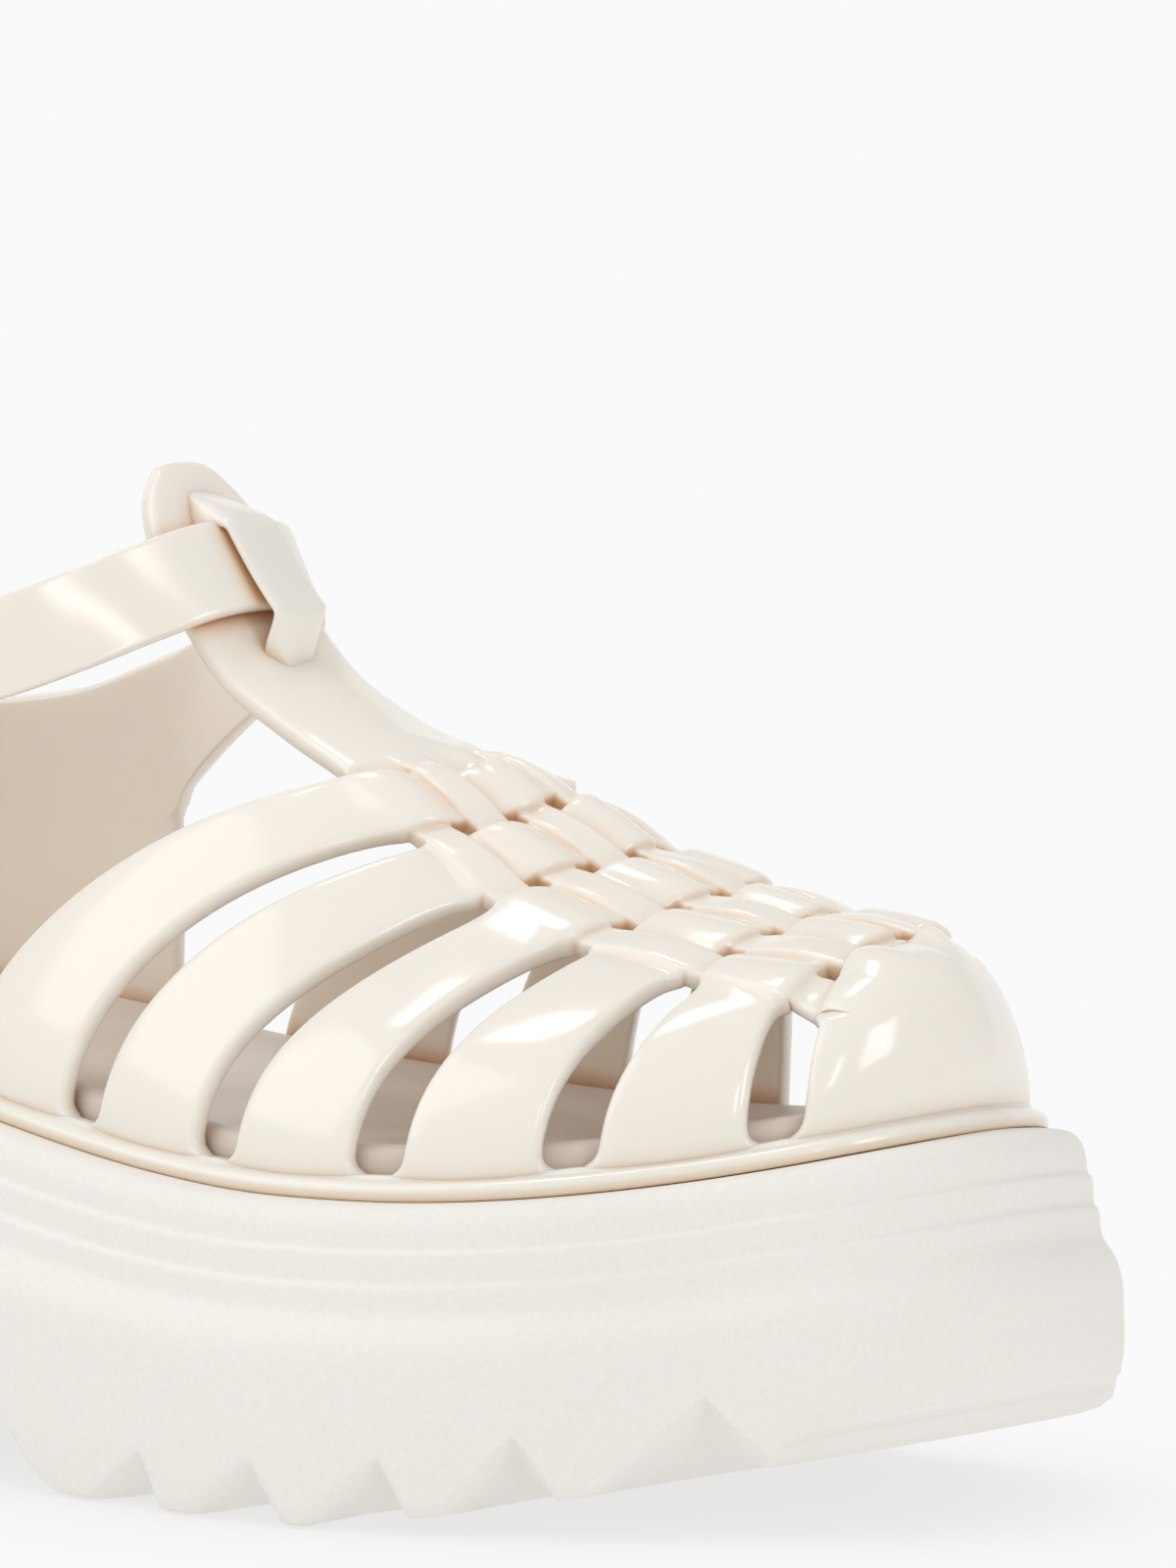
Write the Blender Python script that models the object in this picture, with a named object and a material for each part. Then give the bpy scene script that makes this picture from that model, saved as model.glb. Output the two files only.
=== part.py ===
"""Right-foot jelly fisherman sandal: a woven PVC cage on a ribbed foam platform.

Axes: +X runs from heel to toe, +Y to the inner side of the foot, +Z up. Sizes are
in millimetres and become metres when a mesh is made. Places along the edge of the
last are stations: millimetres of edge from the tip of the toe, positive along the
outer side and negative along the inner side.
"""
import math

import bmesh
import bpy
import numpy as np
from mathutils import Matrix, Vector

MM = 0.001
GAP = 0.3

# Last and platform
LAST_LENGTH = 258.0
TIP_Y = 4.0
CENTRE = (129.0, -0.65)
RIM_HEIGHT = 39.6
HEEL_RISE = 11.4
HEEL_RISE_SPAN = (188.0, 76.0)
TOE_RISE = 9.5
TOE_RISE_START = 196.0
TREAD_TOE_LIFT = 14.0
TREAD_TOE_SPAN = (198.0, 268.0)
ARCH_LIFT = 9.5
ARCH_FRONT = (158.0, 143.0)
ARCH_BACK = (74.0, 90.0)
HEEL_BEVEL = 3.0
HEEL_BEVEL_START = 6.0
TREAD_INSET = 4.0
TOE_LIP = 3.3
TOE_LIP_STATION = 33.0

# Upper
WALL = 2.6
WALL_INSET = 2.0
FOOT_HEIGHT = 1.1
SILL = 2.9
SLOT_WIDTH = 7.3
CREST_GAP = 1.8
STRIPS = 5
STRIP_GAP = 0.26
STRIP_RELIEF = 1.2
FAR_RELIEF = 1.6
CREST_DROP = 0.9
RIB_ROUND = 1.98
SPREAD_POWERS = (0.4, 1.96)
CAP_ROUND = 3.1
STRAP_WALL = 2.6

# Edge of the last: x from the heel, outer half width, inner half width
LAST_WIDTHS = (
    (9.0, 20.0, 20.0),
    (34.0, 31.0, 30.0),
    (70.0, 32.5, 29.0),
    (108.0, 33.8, 27.8),
    (139.0, 41.2, 33.3),
    (166.0, 46.2, 43.4),
    (192.0, 48.0, 46.9),
    (216.0, 40.6, 44.4),
    (236.0, 27.0, 41.2),
    (251.0, 14.5, 27.5),
)

# Side of the platform from its top edge down: outset, drop
SIDE_STEPS = (
    (-1.0, 0.0),
    (2.2, 0.1),
    (4.3, 1.6),
    (5.2, 4.8),
    (5.3, 5.7),
    (5.9, 6.0),
    (6.1, 9.6),
    (6.8, 10.1),
    (7.0, 12.9),
    (8.0, 15.1),
    (9.4, 16.5),
    (10.0, 19.0),
    (10.2, 24.0),
)
WALL_OUTSET = 10.5

# Scoops between the lugs: start, apex and end station on each side, depth
FORE_SCOOPS = (
    (117.0, 108.0, 104.5, 6.8),
    (100.4, 92.0, 88.0, 7.2),
    (85.8, 77.0, 73.4, 7.6),
    (69.3, 62.0, 57.2, 8.4),
    (53.0, 40.0, 32.0, 9.6),
)
# The same for the heel, from the middle of the heel
HEEL_SCOOPS = (
    (66.0, 57.0, 53.0, 6.8),
    (48.5, 39.5, 35.5, 6.8),
    (31.0, 22.0, 18.0, 6.4),
)

# Crest of the cage, outer skin: x, y, z
CREST = (
    (129.0, 1.8, 130.5),
    (132.6, 2.0, 125.0),
    (137.0, 2.4, 117.8),
    (141.4, 2.8, 111.2),
    (147.0, 3.0, 104.8),
    (155.0, 3.0, 99.6),
    (164.0, 3.2, 95.4),
    (176.0, 3.6, 92.0),
    (188.0, 4.2, 86.0),
    (198.0, 4.8, 81.2),
    (211.0, 5.6, 76.7),
    (225.0, 6.6, 74.1),
    (243.0, 8.0, 72.6),
)

# Across the cage at each crest x: half weave outer and inner, tilt to the inner side,
# how far the outer shoulder stands up again, and the inner crown
ACROSS = (
    (164.0, 12.0, 12.0, 0.8, 0.3, 0.5),
    (176.0, 13.4, 13.2, -1.2, 2.3, 3.0),
    (188.0, 14.5, 13.6, 2.9, 3.1, 1.6),
    (198.0, 16.3, 14.0, 2.7, -0.3, 0.6),
    (211.0, 17.8, 14.0, 3.6, 0.5, 0.3),
    (225.0, 18.6, 13.0, 3.0, 0.6, 0.0),
    (243.0, 19.6, 8.6, 2.2, 2.5, 0.0),
)

# Gaps between the cage's straps: outer station, crest x, inner station, crest slant
STRAP_GAPS = (
    (134.0, 187.2, -129.0, 0.43),
    (108.5, 199.0, -103.0, 0.42),
    (82.5, 212.4, -77.0, 0.35),
    (57.0, 226.2, -51.0, 0.16),
    (31.5, 240.4, -25.0, 0.18),
)
REAR_EDGE = (160.0, 177.6, -155.5, 0.37)

# T-bar from its rounded end down: crest x, half width
T_BAR = (
    (129.2, 4.6),
    (130.8, 8.2),
    (133.4, 10.4),
    (137.6, 11.2),
    (142.6, 11.2),
    (148.4, 11.0),
    (155.0, 10.8),
    (161.5, 11.0),
    (168.2, 11.9),
)
T_BAR_CROWN = 26.0

# Heel counter's top line: share of its run from the inner front, height over the rim, lean
COUNTER_TOP = (
    (0.00, 54.6, 3.6),
    (0.05, 48.4, 4.0),
    (0.10, 45.4, 4.3),
    (0.18, 44.4, 4.4),
    (0.36, 47.0, 3.4),
    (0.50, 54.5, 3.0),
    (0.64, 47.0, 3.4),
    (0.84, 44.4, 4.4),
    (1.00, 47.5, 4.4),
)
COUNTER_INNER_X = 112.0
COUNTER_OUTER_X = 98.0
COUNTER_BELLY = 1.2
COUNTER_ROWS = (0.0, 0.045, 0.2, 0.36, 0.52, 0.66, 0.75, 0.84, 0.925, 1.0)
COUNTER_COLUMNS = 30

# Ankle strap's middle line from the counter over the T-bar: x, y, z, tilt, width
ANKLE_STRAP = (
    (119.6, 22.4, 97.6, 10.0, 15.4),
    (129.2, 21.2, 104.4, 16.0, 13.8),
    (137.4, 17.4, 110.6, 23.0, 13.0),
    (141.8, 11.4, 114.8, 29.0, 13.0),
    (142.2, 3.4, 115.8, 32.0, 13.0),
    (140.9, -5.0, 115.2, 30.0, 13.0),
    (136.8, -13.0, 112.4, 25.0, 13.0),
    (131.0, -20.6, 108.6, 18.0, 13.0),
    (124.0, -27.2, 105.0, 12.0, 13.0),
    (117.0, -31.0, 102.8, 8.0, 13.0),
    (110.5, -33.9, 101.4, 6.0, 13.0),
    (104.0, -35.4, 100.4, 5.0, 13.0),
    (97.0, -34.0, 99.4, 4.0, 13.0),
    (89.0, -31.4, 98.6, 4.0, 12.4),
    (82.5, -30.8, 98.0, 4.0, 10.0),
    (79.5, -30.6, 97.8, 4.0, 5.0),
)

# Buckle
REAR_BAR = (104.0, -30.4, 100.2)
FRONT_BAR = (117.8, -34.2, 102.6)
BAR_RADIUS = 1.1
BUCKLE_HALF_WIDTH = 8.3
BUCKLE_CORNER = 2.4
PRONG_RADIUS = 0.8
PRONG_Z = 101.2
PRONG_HOLE = (8.6, 2.4)
TAB_HALF_WIDTH = 5.2
EYE_RADIUS = 2.9


def closed_curve(knots, per_span):
    """Points on a smooth closed curve through the knots."""
    ring = np.vstack([knots[-3:], knots, knots[:3]])
    chords = np.linalg.norm(np.diff(ring, axis=0), axis=1)
    t = np.concatenate(([0.0], np.cumsum(np.sqrt(chords))))
    rows = np.column_stack([t, ring])
    span = np.linspace(t[3], t[3 + len(knots)], per_span * len(knots), endpoint=False)
    return np.array([table_value(rows, u) for u in span])


def table_value(rows, x):
    """Smooth value at x of a table whose first column rises."""
    table = np.asarray(rows, float)
    xs = table[:, 0]
    slopes = np.gradient(table[:, 1:], xs, axis=0)
    k = int(np.clip(np.searchsorted(xs, x) - 1, 0, len(xs) - 2))
    width = xs[k + 1] - xs[k]
    u = (x - xs[k]) / width
    start = (2 * u**3 - 3 * u**2 + 1) * table[k, 1:]
    end = (3 * u**2 - 2 * u**3) * table[k + 1, 1:]
    leave = (u**3 - 2 * u**2 + u) * width * slopes[k]
    arrive = (u**3 - u**2) * width * slopes[k + 1]
    return start + end + leave + arrive


def smooth(share):
    share = min(max(share, 0.0), 1.0)
    return share * share * (3 - 2 * share)


class Outline:
    """Edge of the last in plan, read by station and outset."""

    def __init__(self):
        outer = [(x, -half) for x, half, _ in LAST_WIDTHS]
        inner = [(x, half) for x, _, half in reversed(LAST_WIDTHS)]
        knots = np.array([(0.0, 0.0)] + outer + [(LAST_LENGTH, TIP_Y)] + inner)
        points = closed_curve(knots, 40)
        tip = int(np.argmax(points[:, 0]))
        points = np.roll(np.roll(points, -tip, axis=0)[::-1], 1, axis=0)
        self.ring = np.vstack([points, points[:1]])
        steps = np.linalg.norm(np.diff(self.ring, axis=0), axis=1)
        self.arc = np.concatenate(([0.0], np.cumsum(steps)))
        self.length = self.arc[-1]
        self.outer_length = self.arc[int(np.argmin(points[:, 0]))]
        self.inner_length = self.length - self.outer_length

    def edge(self, station):
        s = station % self.length
        x = np.interp(s, self.arc, self.ring[:, 0])
        y = np.interp(s, self.arc, self.ring[:, 1])
        return np.array((x, y))

    def at(self, station, outset):
        reach = 2.5
        run = self.edge(station + reach) - self.edge(station - reach)
        run /= np.linalg.norm(run)
        return self.edge(station) + outset * np.array((-run[1], run[0]))

    def station_at(self, x, side):
        """Station where one side of the edge has this x; side is 1 outer, -1 inner."""
        length = self.outer_length if side > 0 else self.inner_length
        stations = np.linspace(20.0, length, 400)
        xs = np.array([self.edge(side * s)[0] for s in stations])
        return side * float(np.interp(-x, -xs, stations))


OUTLINE = Outline()


def rim_z(x):
    start, end = HEEL_RISE_SPAN
    heel = HEEL_RISE * smooth((start - x) / (start - end))
    toe = max(0.0, (x - TOE_RISE_START) / (LAST_LENGTH - TOE_RISE_START))
    return RIM_HEIGHT + heel + TOE_RISE * toe * toe


def tread_z(x):
    toe_start, toe_end = TREAD_TOE_SPAN
    toe = max(0.0, (x - toe_start) / (toe_end - toe_start))
    front = smooth((ARCH_FRONT[0] - x) / (ARCH_FRONT[0] - ARCH_FRONT[1]))
    back = smooth((x - ARCH_BACK[0]) / (ARCH_BACK[1] - ARCH_BACK[0]))
    heel = max(0.0, (HEEL_BEVEL_START - x) / (HEEL_BEVEL_START + WALL_OUTSET))
    return TREAD_TOE_LIFT * toe**1.25 + ARCH_LIFT * front * back + HEEL_BEVEL * heel


def new_object(name, bm, colour, roughness, guide=False):
    """Object at the sole's middle, from a mesh drawn in millimetres."""
    shift = Matrix.Translation((-CENTRE[0], -CENTRE[1], 0.0))
    bm.transform(Matrix.Scale(MM, 4) @ shift)
    mesh = bpy.data.meshes.new(name)
    bm.to_mesh(mesh)
    bm.free()
    mesh.shade_smooth()
    mesh.set_sharp_from_angle(angle=math.radians(35))
    obj = bpy.data.objects.new(name, mesh)
    bpy.context.collection.objects.link(obj)
    if guide:
        obj.hide_render = True
        obj.display_type = "WIRE"
    else:
        mesh.materials.append(material(name, colour, roughness))
    return obj


def material(name, colour, roughness, metallic=0.0):
    mat = bpy.data.materials.new(name)
    mat.use_nodes = True
    shader = mat.node_tree.nodes["Principled BSDF"]
    shader.inputs["Base Color"].default_value = (*colour, 1.0)
    shader.inputs["Roughness"].default_value = roughness
    shader.inputs["Metallic"].default_value = metallic
    return mat


def side_stations():
    """Matching stations of the outer and the inner side, from the tip to the heel."""
    sides = []
    for length in (OUTLINE.outer_length, OUTLINE.inner_length):
        knots = [0.0, 8.0, 16.0, 24.0]
        for start, apex, end, _ in reversed(FORE_SCOOPS):
            knots += [end, apex, start]
        knots += [126.0, 134.0, 142.0]
        for start, apex, end, _ in HEEL_SCOOPS:
            knots += [length - start, length - apex, length - end]
        knots += [length - 9.0, length]
        sides.append(knots)
    stations = [[0.0], [0.0]]
    for k in range(1, len(sides[0])):
        wide = sides[0][k] - sides[0][k - 1]
        pieces = max(1, round(wide / 8.0))
        for side in (0, 1):
            first, last = sides[side][k - 1], sides[side][k]
            stations[side] += [first + (last - first) * (m + 1) / pieces for m in range(pieces)]
    return stations


def scoop_depth(station, length):
    for start, apex, end, depth in FORE_SCOOPS:
        if end < station < start:
            share = (station - end) / (apex - end)
            if station > apex:
                share = (start - station) / (start - apex)
            return depth * share
    for start, apex, end, depth in HEEL_SCOOPS:
        place = length - station
        if end < place < start:
            share = (place - end) / (apex - end)
            if place > apex:
                share = (start - place) / (start - apex)
            return depth * share
    return 0.0


def ring_loft(bm, rings, caps=(True, True)):
    """Skin through closed rings whose halves pair up outer to inner point by point."""
    count = len(rings[0])
    rows = [[bm.verts.new(point) for point in ring] for ring in rings]
    for upper, lower in zip(rows, rows[1:]):
        for k in range(count):
            m = (k + 1) % count
            bm.faces.new((upper[k], upper[m], lower[m], lower[k]))
    for wanted, row in zip(caps, (rows[0], rows[-1])):
        if wanted:
            for k in range(count // 2):
                corners = (row[k], row[k + 1], row[-k - 1], row[-k])
                bm.faces.new(list(dict.fromkeys(corners)))
    bmesh.ops.recalc_face_normals(bm, faces=bm.faces)


def closed_ring(point):
    """One ring, tip to heel on the outer side and back on the inner side."""
    outer, inner = side_stations()
    ring = [point(s, OUTLINE.outer_length) for s in outer]
    ring += [point(-s, OUTLINE.inner_length) for s in reversed(inner[1:-1])]
    return ring


def build_sole():
    """Foam platform with stepped sides, lug scoops, arch and toe spring."""

    def side_point(outset, drop):
        def point(station, _):
            x, y = OUTLINE.at(station, outset)
            return x, y, rim_z(OUTLINE.edge(station)[0]) - drop
        return point

    def bottom_point(outset, lip_share, scoop_share):
        def point(station, length):
            toe = smooth((TOE_LIP_STATION - abs(station)) / 3.0)
            inset = 3.0 * toe * (1.0 if lip_share < 1.0 else 0.0)
            x, y = OUTLINE.at(station, outset - inset)
            lip = (0.6 + (TOE_LIP - 0.6) * toe) * lip_share
            scoop = scoop_depth(abs(station), length) * scoop_share
            return x, y, tread_z(x) + lip + scoop
        return point

    rings = [closed_ring(side_point(outset, drop)) for outset, drop in SIDE_STEPS]
    rings.append(closed_ring(bottom_point(WALL_OUTSET, 1.0, 1.0)))
    rings.append(closed_ring(bottom_point(WALL_OUTSET - 0.9, 0.85, 0.98)))
    rings.append(closed_ring(bottom_point(WALL_OUTSET - 1.4, 0.0, 0.92)))
    rings.append(closed_ring(bottom_point(-TREAD_INSET, 0.0, 0.0)))
    bm = bmesh.new()
    ring_loft(bm, rings)
    return new_object("platform_sole", bm, (0.86, 0.84, 0.81), 0.62)


def build_insole():
    """Footbed with a rounded edge and a slight cup, standing over the slots' sills."""
    edge = -(WALL_INSET + WALL + 0.15 + GAP)
    profile = (
        (edge - 0.6, GAP),
        (edge - 0.1, 1.0),
        (edge - 0.4, 5.0),
        (edge - 1.3, 6.6),
        (edge - 4.5, 6.2),
        (edge - 11.0, 5.4),
    )
    rings = []
    for outset, height in profile:
        def point(station, _, outset=outset, height=height):
            x, y = OUTLINE.at(station, outset)
            return x, y, rim_z(x) + height
        rings.append(closed_ring(point))
    bm = bmesh.new()
    ring_loft(bm, rings)
    return new_object("insole", bm, (0.72, 0.66, 0.62), 0.4)


def build_band():
    """Rim band that carries the cage, with the bead that shows over the platform."""
    outer = -WALL_INSET
    inner = outer - WALL - 0.15
    profile = (
        (-0.5, GAP),
        (0.0, 1.1),
        (-0.4, 2.2),
        (outer - 0.15, SILL),
        (inner, SILL),
        (inner, GAP),
    )
    stations = np.linspace(0.0, OUTLINE.length, 96, endpoint=False)
    bm = bmesh.new()
    loops = []
    for station in stations:
        loop = []
        for outset, height in profile:
            x, y = OUTLINE.at(station, outset)
            loop.append(bm.verts.new((x, y, rim_z(OUTLINE.edge(station)[0]) + height)))
        loops.append(loop)
    size = len(profile)
    for k, loop in enumerate(loops):
        following = loops[(k + 1) % len(loops)]
        for m in range(size):
            n = (m + 1) % size
            bm.faces.new((loop[m], loop[n], following[n], following[m]))
    bmesh.ops.recalc_face_normals(bm, faces=bm.faces)
    return new_object("band_guide", bm, None, 0, guide=True)


def lattice(bm, rows, keep):
    """Quads between rows of points, where keep says so; unused points are left out."""
    made = {}
    for i in range(len(rows) - 1):
        for j in range(len(rows[i]) - 1):
            if not keep(i, j):
                continue
            corners = []
            for a, b in ((i, j), (i + 1, j), (i + 1, j + 1), (i, j + 1)):
                if (a, b) not in made:
                    made[a, b] = bm.verts.new(rows[a][b])
                corners.append(made[a, b])
            bm.faces.new(corners)
    bmesh.ops.remove_doubles(bm, verts=bm.verts, dist=0.01)


class Rib:
    """One line over the foot, from the outer edge over the crest to the inner edge."""

    def __init__(self, outer, crest_x, inner, slant, spread=0.0):
        self.stations = (outer, inner)
        self.spread = spread * (SLOT_WIDTH - CREST_GAP) / 2
        y, z = table_value(CREST, crest_x)
        self.crest = np.array((crest_x, y, z - WALL / 2 - CREST_DROP))
        self.slant = slant
        across = table_value(ACROSS, crest_x)
        self.halves = across[:2]
        self.tilt, self.shoulder, self.crown = across[2:]

    def base(self, station):
        x, y = OUTLINE.at(station, -WALL_INSET - WALL / 2)
        return np.array((x, y, rim_z(OUTLINE.edge(station)[0]) + SILL))

    def point(self, side, angle, station=None, straight=0.0):
        """Point at an angle from the crest, 0, down to the base, a right angle."""
        base = self.base(self.stations[side] if station is None else station)
        roundness = RIB_ROUND + (CAP_ROUND - RIB_ROUND) * straight
        out = math.sin(angle) ** (2 / roundness)
        up = math.cos(angle) ** (2 / roundness) if angle < math.pi / 2 else 0.0
        slant = self.slant * (1 - straight)
        y = self.crest[1] + (base[1] - self.crest[1]) * out
        spare = base[0] - self.crest[0] - slant * (base[1] - self.crest[1])
        slow, fast = SPREAD_POWERS
        x = self.crest[0] + slant * (y - self.crest[1]) + spare * out ** (fast - 0.9 * straight)
        begun = smooth(28.0 * (out - self.halves[side] / abs(base[1] - self.crest[1])))
        x += self.spread * begun * (out**slow - out**fast) * (1 - straight)
        z = base[2] + (self.crest[2] - base[2]) * up
        outward = base[1] < self.crest[1]
        rise = self.tilt * (-2.6 if outward else 2.6) * out * (1 - out * out)
        if outward:
            rise += self.shoulder * 6.75 * out * out * (1 - out)
        else:
            rise += self.crown * 9.5 * out * (1 - out) ** 3
        return np.array((x, y, z + rise * (1 - straight)))

    def angle_at(self, side, reach):
        """Angle whose point lies this far from the crest across the foot."""
        base = self.base(self.stations[side])
        share = min(1.0, reach / abs(base[1] - self.crest[1]))
        return math.asin(share ** (RIB_ROUND / 2))


def strip_edges():
    """Both edges of each lengthwise strip as shares of the weave's half width."""
    pitch = 2 / (STRIPS - STRIP_GAP)
    half = pitch * (1 - STRIP_GAP) / 2
    edges = []
    for strip in range(STRIPS):
        middle = (strip - STRIPS // 2) * pitch
        edges += [middle - half, middle + half]
    return edges


FLANK = (0.15, 0.32, 0.52, 0.76)
WEAVE_START = 2 + len(FLANK)
WEAVE_COLUMNS = 2 * STRIPS
COLUMNS = 2 * WEAVE_START + WEAVE_COLUMNS


def weave_angles(rib):
    """Side and angle of each column of the weave."""
    angles = []
    for share in strip_edges():
        side = 0 if share < 0 else 1
        angles.append((side, rib.angle_at(side, abs(share) * rib.halves[side])))
    return angles


def rib_row(rib):
    """Mid-wall points of one rib, outer foot to inner foot."""
    row = []
    for side in (0, 1):
        edge_angle = rib.angle_at(side, rib.halves[side])
        angles = [math.pi / 2]
        angles += [edge_angle + (math.pi / 2 - edge_angle) * (1 - share) for share in FLANK]
        flank = [rib.point(side, angle) for angle in angles]
        foot = flank[0].copy()
        foot[2] += FOOT_HEIGHT - SILL
        row.append([foot] + flank)
    weave = [rib.point(side, angle) for side, angle in weave_angles(rib)]
    return row[0] + weave + row[1][::-1]


def t_bar_row(crest_x, half, slant):
    """Mid-wall points across the T-bar; the flanks repeat its edges."""
    y, z = table_value(CREST, crest_x)
    weave = []
    for share in strip_edges():
        offset = share * half
        drop = offset * offset / (2 * T_BAR_CROWN)
        weave.append(np.array((crest_x + slant * offset, y + offset, z - WALL / 2 - drop)))
    return [weave[0]] * WEAVE_START + weave + [weave[-1]] * WEAVE_START


def cap_row(rib, share):
    """Mid-wall points of the toe cap, from its rear edge, 0, to its front sill, 1."""
    row = []
    for side_row in rib_angles(rib):
        across = side_row / (math.pi / 2)
        a = across * math.sqrt(1 - share * share / 2)
        b = share * math.sqrt(1 - across * across / 2)
        angle = min(1.0, math.hypot(a, b)) * math.pi / 2
        turn = math.atan2(b, -a) / math.pi if (a or b) else 0.5
        outer, inner = rib.stations
        station = outer + (inner - outer) * turn
        row.append(rib.point(0, angle, station, math.sin(math.pi * turn)))
    return row


def rib_angles(rib):
    """Signed angles of the columns between the two sills."""
    outer_edge = rib.angle_at(0, rib.halves[0])
    inner_edge = rib.angle_at(1, rib.halves[1])
    quarter = math.pi / 2
    angles = [-quarter] + [-(outer_edge + (quarter - outer_edge) * (1 - s)) for s in FLANK]
    angles += [angle if side else -angle for side, angle in weave_angles(rib)]
    angles += [inner_edge + (quarter - inner_edge) * (1 - s) for s in reversed(FLANK)]
    return angles + [quarter]


STRAP_LINES = 4
CAP_SHARES = (0.22, 0.44, 0.66, 0.84, 1.0)


def cage_rows():
    """All lines of the cage from the T-bar's end to the toe, with a name for each run."""
    rows = [t_bar_row(x, half, REAR_EDGE[3] * k / len(T_BAR)) for k, (x, half) in enumerate(T_BAR)]
    kinds = ["t_bar"] * len(rows)
    rear = REAR_EDGE
    for number, gap in enumerate(STRAP_GAPS):
        outer, crest_x, inner, slant = gap
        front = (outer + SLOT_WIDTH / 2, crest_x - CREST_GAP / 2, inner - SLOT_WIDTH / 2, slant)
        for k in range(STRAP_LINES):
            share = k / (STRAP_LINES - 1)
            spread = (1 - share if number else 0.0) - share
            rib = Rib(*(a + (b - a) * share for a, b in zip(rear, front)), spread)
            rows.append(rib_row(rib))
            kinds.append("strap" if k < STRAP_LINES - 1 else "gap")
        rear = (outer - SLOT_WIDTH / 2, crest_x + CREST_GAP / 2, inner + SLOT_WIDTH / 2, slant)
    rows.append(rib_row(Rib(*rear, 1.0)))
    for share in CAP_SHARES:
        middle = cap_row(Rib(*rear, max(0.0, 1 - 2.5 * share)), share)
        feet = [[p + np.array((0, 0, FOOT_HEIGHT - SILL))] for p in (middle[0], middle[-1])]
        rows.append(feet[0] + middle + feet[1])
        kinds.append("cap")
    last = [p + np.array((0, 0, FOOT_HEIGHT - SILL)) for p in rows[-1][1:-1]]
    rows.append([last[0]] + last + [last[-1]])
    kinds.append("cap")
    return rows, kinds


def raise_strips(rows, kinds):
    """Strips and straps pass over and under each other by turns."""
    starts = [k for k in range(1, len(kinds)) if kinds[k] == "strap" and kinds[k - 1] != "strap"]
    for number, start in enumerate(starts):
        for k in range(start, start + STRAP_LINES):
            along = math.sin(math.pi * (k - start + 0.6) / (STRAP_LINES + 0.2))
            lifts = np.zeros(COLUMNS)
            for strip in range(STRIPS):
                column = WEAVE_START + 2 * strip
                strip_over = (number + strip) % 2 == 1
                lifts[column:column + 2] = STRIP_RELIEF * (1.0 if strip_over else 0.35)
            if number == 0:
                far = WEAVE_START + WEAVE_COLUMNS
                lifts[far - 2:far + 2] += np.array((0.6, 1.0, 0.9, 0.3)) * FAR_RELIEF
            for j in range(COLUMNS):
                rows[k][j] = rows[k][j] + np.array((0, 0, lifts[j] * along))


def build_cage():
    """Open sheet of the cage, T-bar and toe cap; Solidify gives it its wall."""
    rows, kinds = cage_rows()
    raise_strips(rows, kinds)
    last = COLUMNS - 2

    def keep(i, j):
        weave = WEAVE_START <= j < WEAVE_START + WEAVE_COLUMNS - 1
        corner = weave and (j - WEAVE_START) % 2 == 1
        if kinds[i] == "t_bar":
            return weave
        if kinds[i] == "gap":
            return j in (0, last) or (weave and not corner)
        if i == len(kinds) - 1:
            return 1 <= j < last
        return True

    bm = bmesh.new()
    lattice(bm, rows, keep)
    bmesh.ops.recalc_face_normals(bm, faces=bm.faces)
    return new_object("upper", bm, (0.87, 0.79, 0.70), 0.18)


def counter_rows():
    """Lines of the ankle strap, the counter round the heel and the buckle tab."""
    inner = OUTLINE.station_at(COUNTER_INNER_X, -1)
    outer = OUTLINE.station_at(COUNTER_OUTER_X, 1) - OUTLINE.length
    rows = []
    for k in range(COUNTER_COLUMNS):
        share = k / (COUNTER_COLUMNS - 1)
        station = inner + (outer - inner) * share
        height, lean = table_value(COUNTER_TOP, share)
        base_z = rim_z(OUTLINE.edge(station)[0])
        row = []
        for level in COUNTER_ROWS:
            inset = WALL_INSET + WALL / 2 + lean * level**2
            inset -= COUNTER_BELLY * math.sin(math.pi * level)
            x, y = OUTLINE.at(station, -inset)
            row.append(np.array((x, y, base_z + FOOT_HEIGHT + (height - FOOT_HEIGHT) * level)))
        rows.append(row)
    return rows


def strap_rows():
    """Lines across the ankle strap, from the counter's inner front to the tail."""
    table = [(k, *row) for k, row in enumerate(ANKLE_STRAP)]
    places = np.linspace(0, len(ANKLE_STRAP) - 1, 2 * len(ANKLE_STRAP) - 1)
    rows = []
    for place in places:
        x, y, z, tilt, width = table_value(table, place)
        rise = np.array((-math.sin(math.radians(tilt)), 0.0, math.cos(math.radians(tilt))))
        rows.append([np.array((x, y, z)) + rise * width * t for t in (-0.5, -1 / 6, 1 / 6, 0.5)])
    return rows


def build_counter():
    """Heel counter with the ankle strap growing from its inner front corner."""
    rows = counter_rows()
    lower = len(COUNTER_ROWS) - 4
    strap = [[line[0]] * lower + line for line in reversed(strap_rows())]
    tab = []
    for share in (0.5, 1.0):
        front = rows[-1]
        line = []
        for k in range(4):
            start = front[lower + k]
            side = (k - 1.5) / 1.5 * TAB_HALF_WIDTH
            end = np.array(REAR_BAR) + np.array((-2.0, 0.0, side))
            line.append(start + (end - start) * share)
        tab.append([line[0]] * lower + line)
    first, second = len(strap), len(strap) + len(rows)
    everything = strap + rows + tab

    def keep(i, j):
        if i < first or i >= second - 1:
            return j >= lower
        return True

    bm = bmesh.new()
    lattice(bm, everything, keep)
    bmesh.ops.recalc_face_normals(bm, faces=bm.faces)
    obj = new_object("counter_guide", bm, None, 0, guide=True)
    add_wall(obj, STRAP_WALL)
    return obj


def add_wall(obj, thickness):
    wall = obj.modifiers.new("wall", "SOLIDIFY")
    wall.thickness = thickness * MM
    wall.offset = 0.0
    wall.use_even_offset = False


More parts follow.
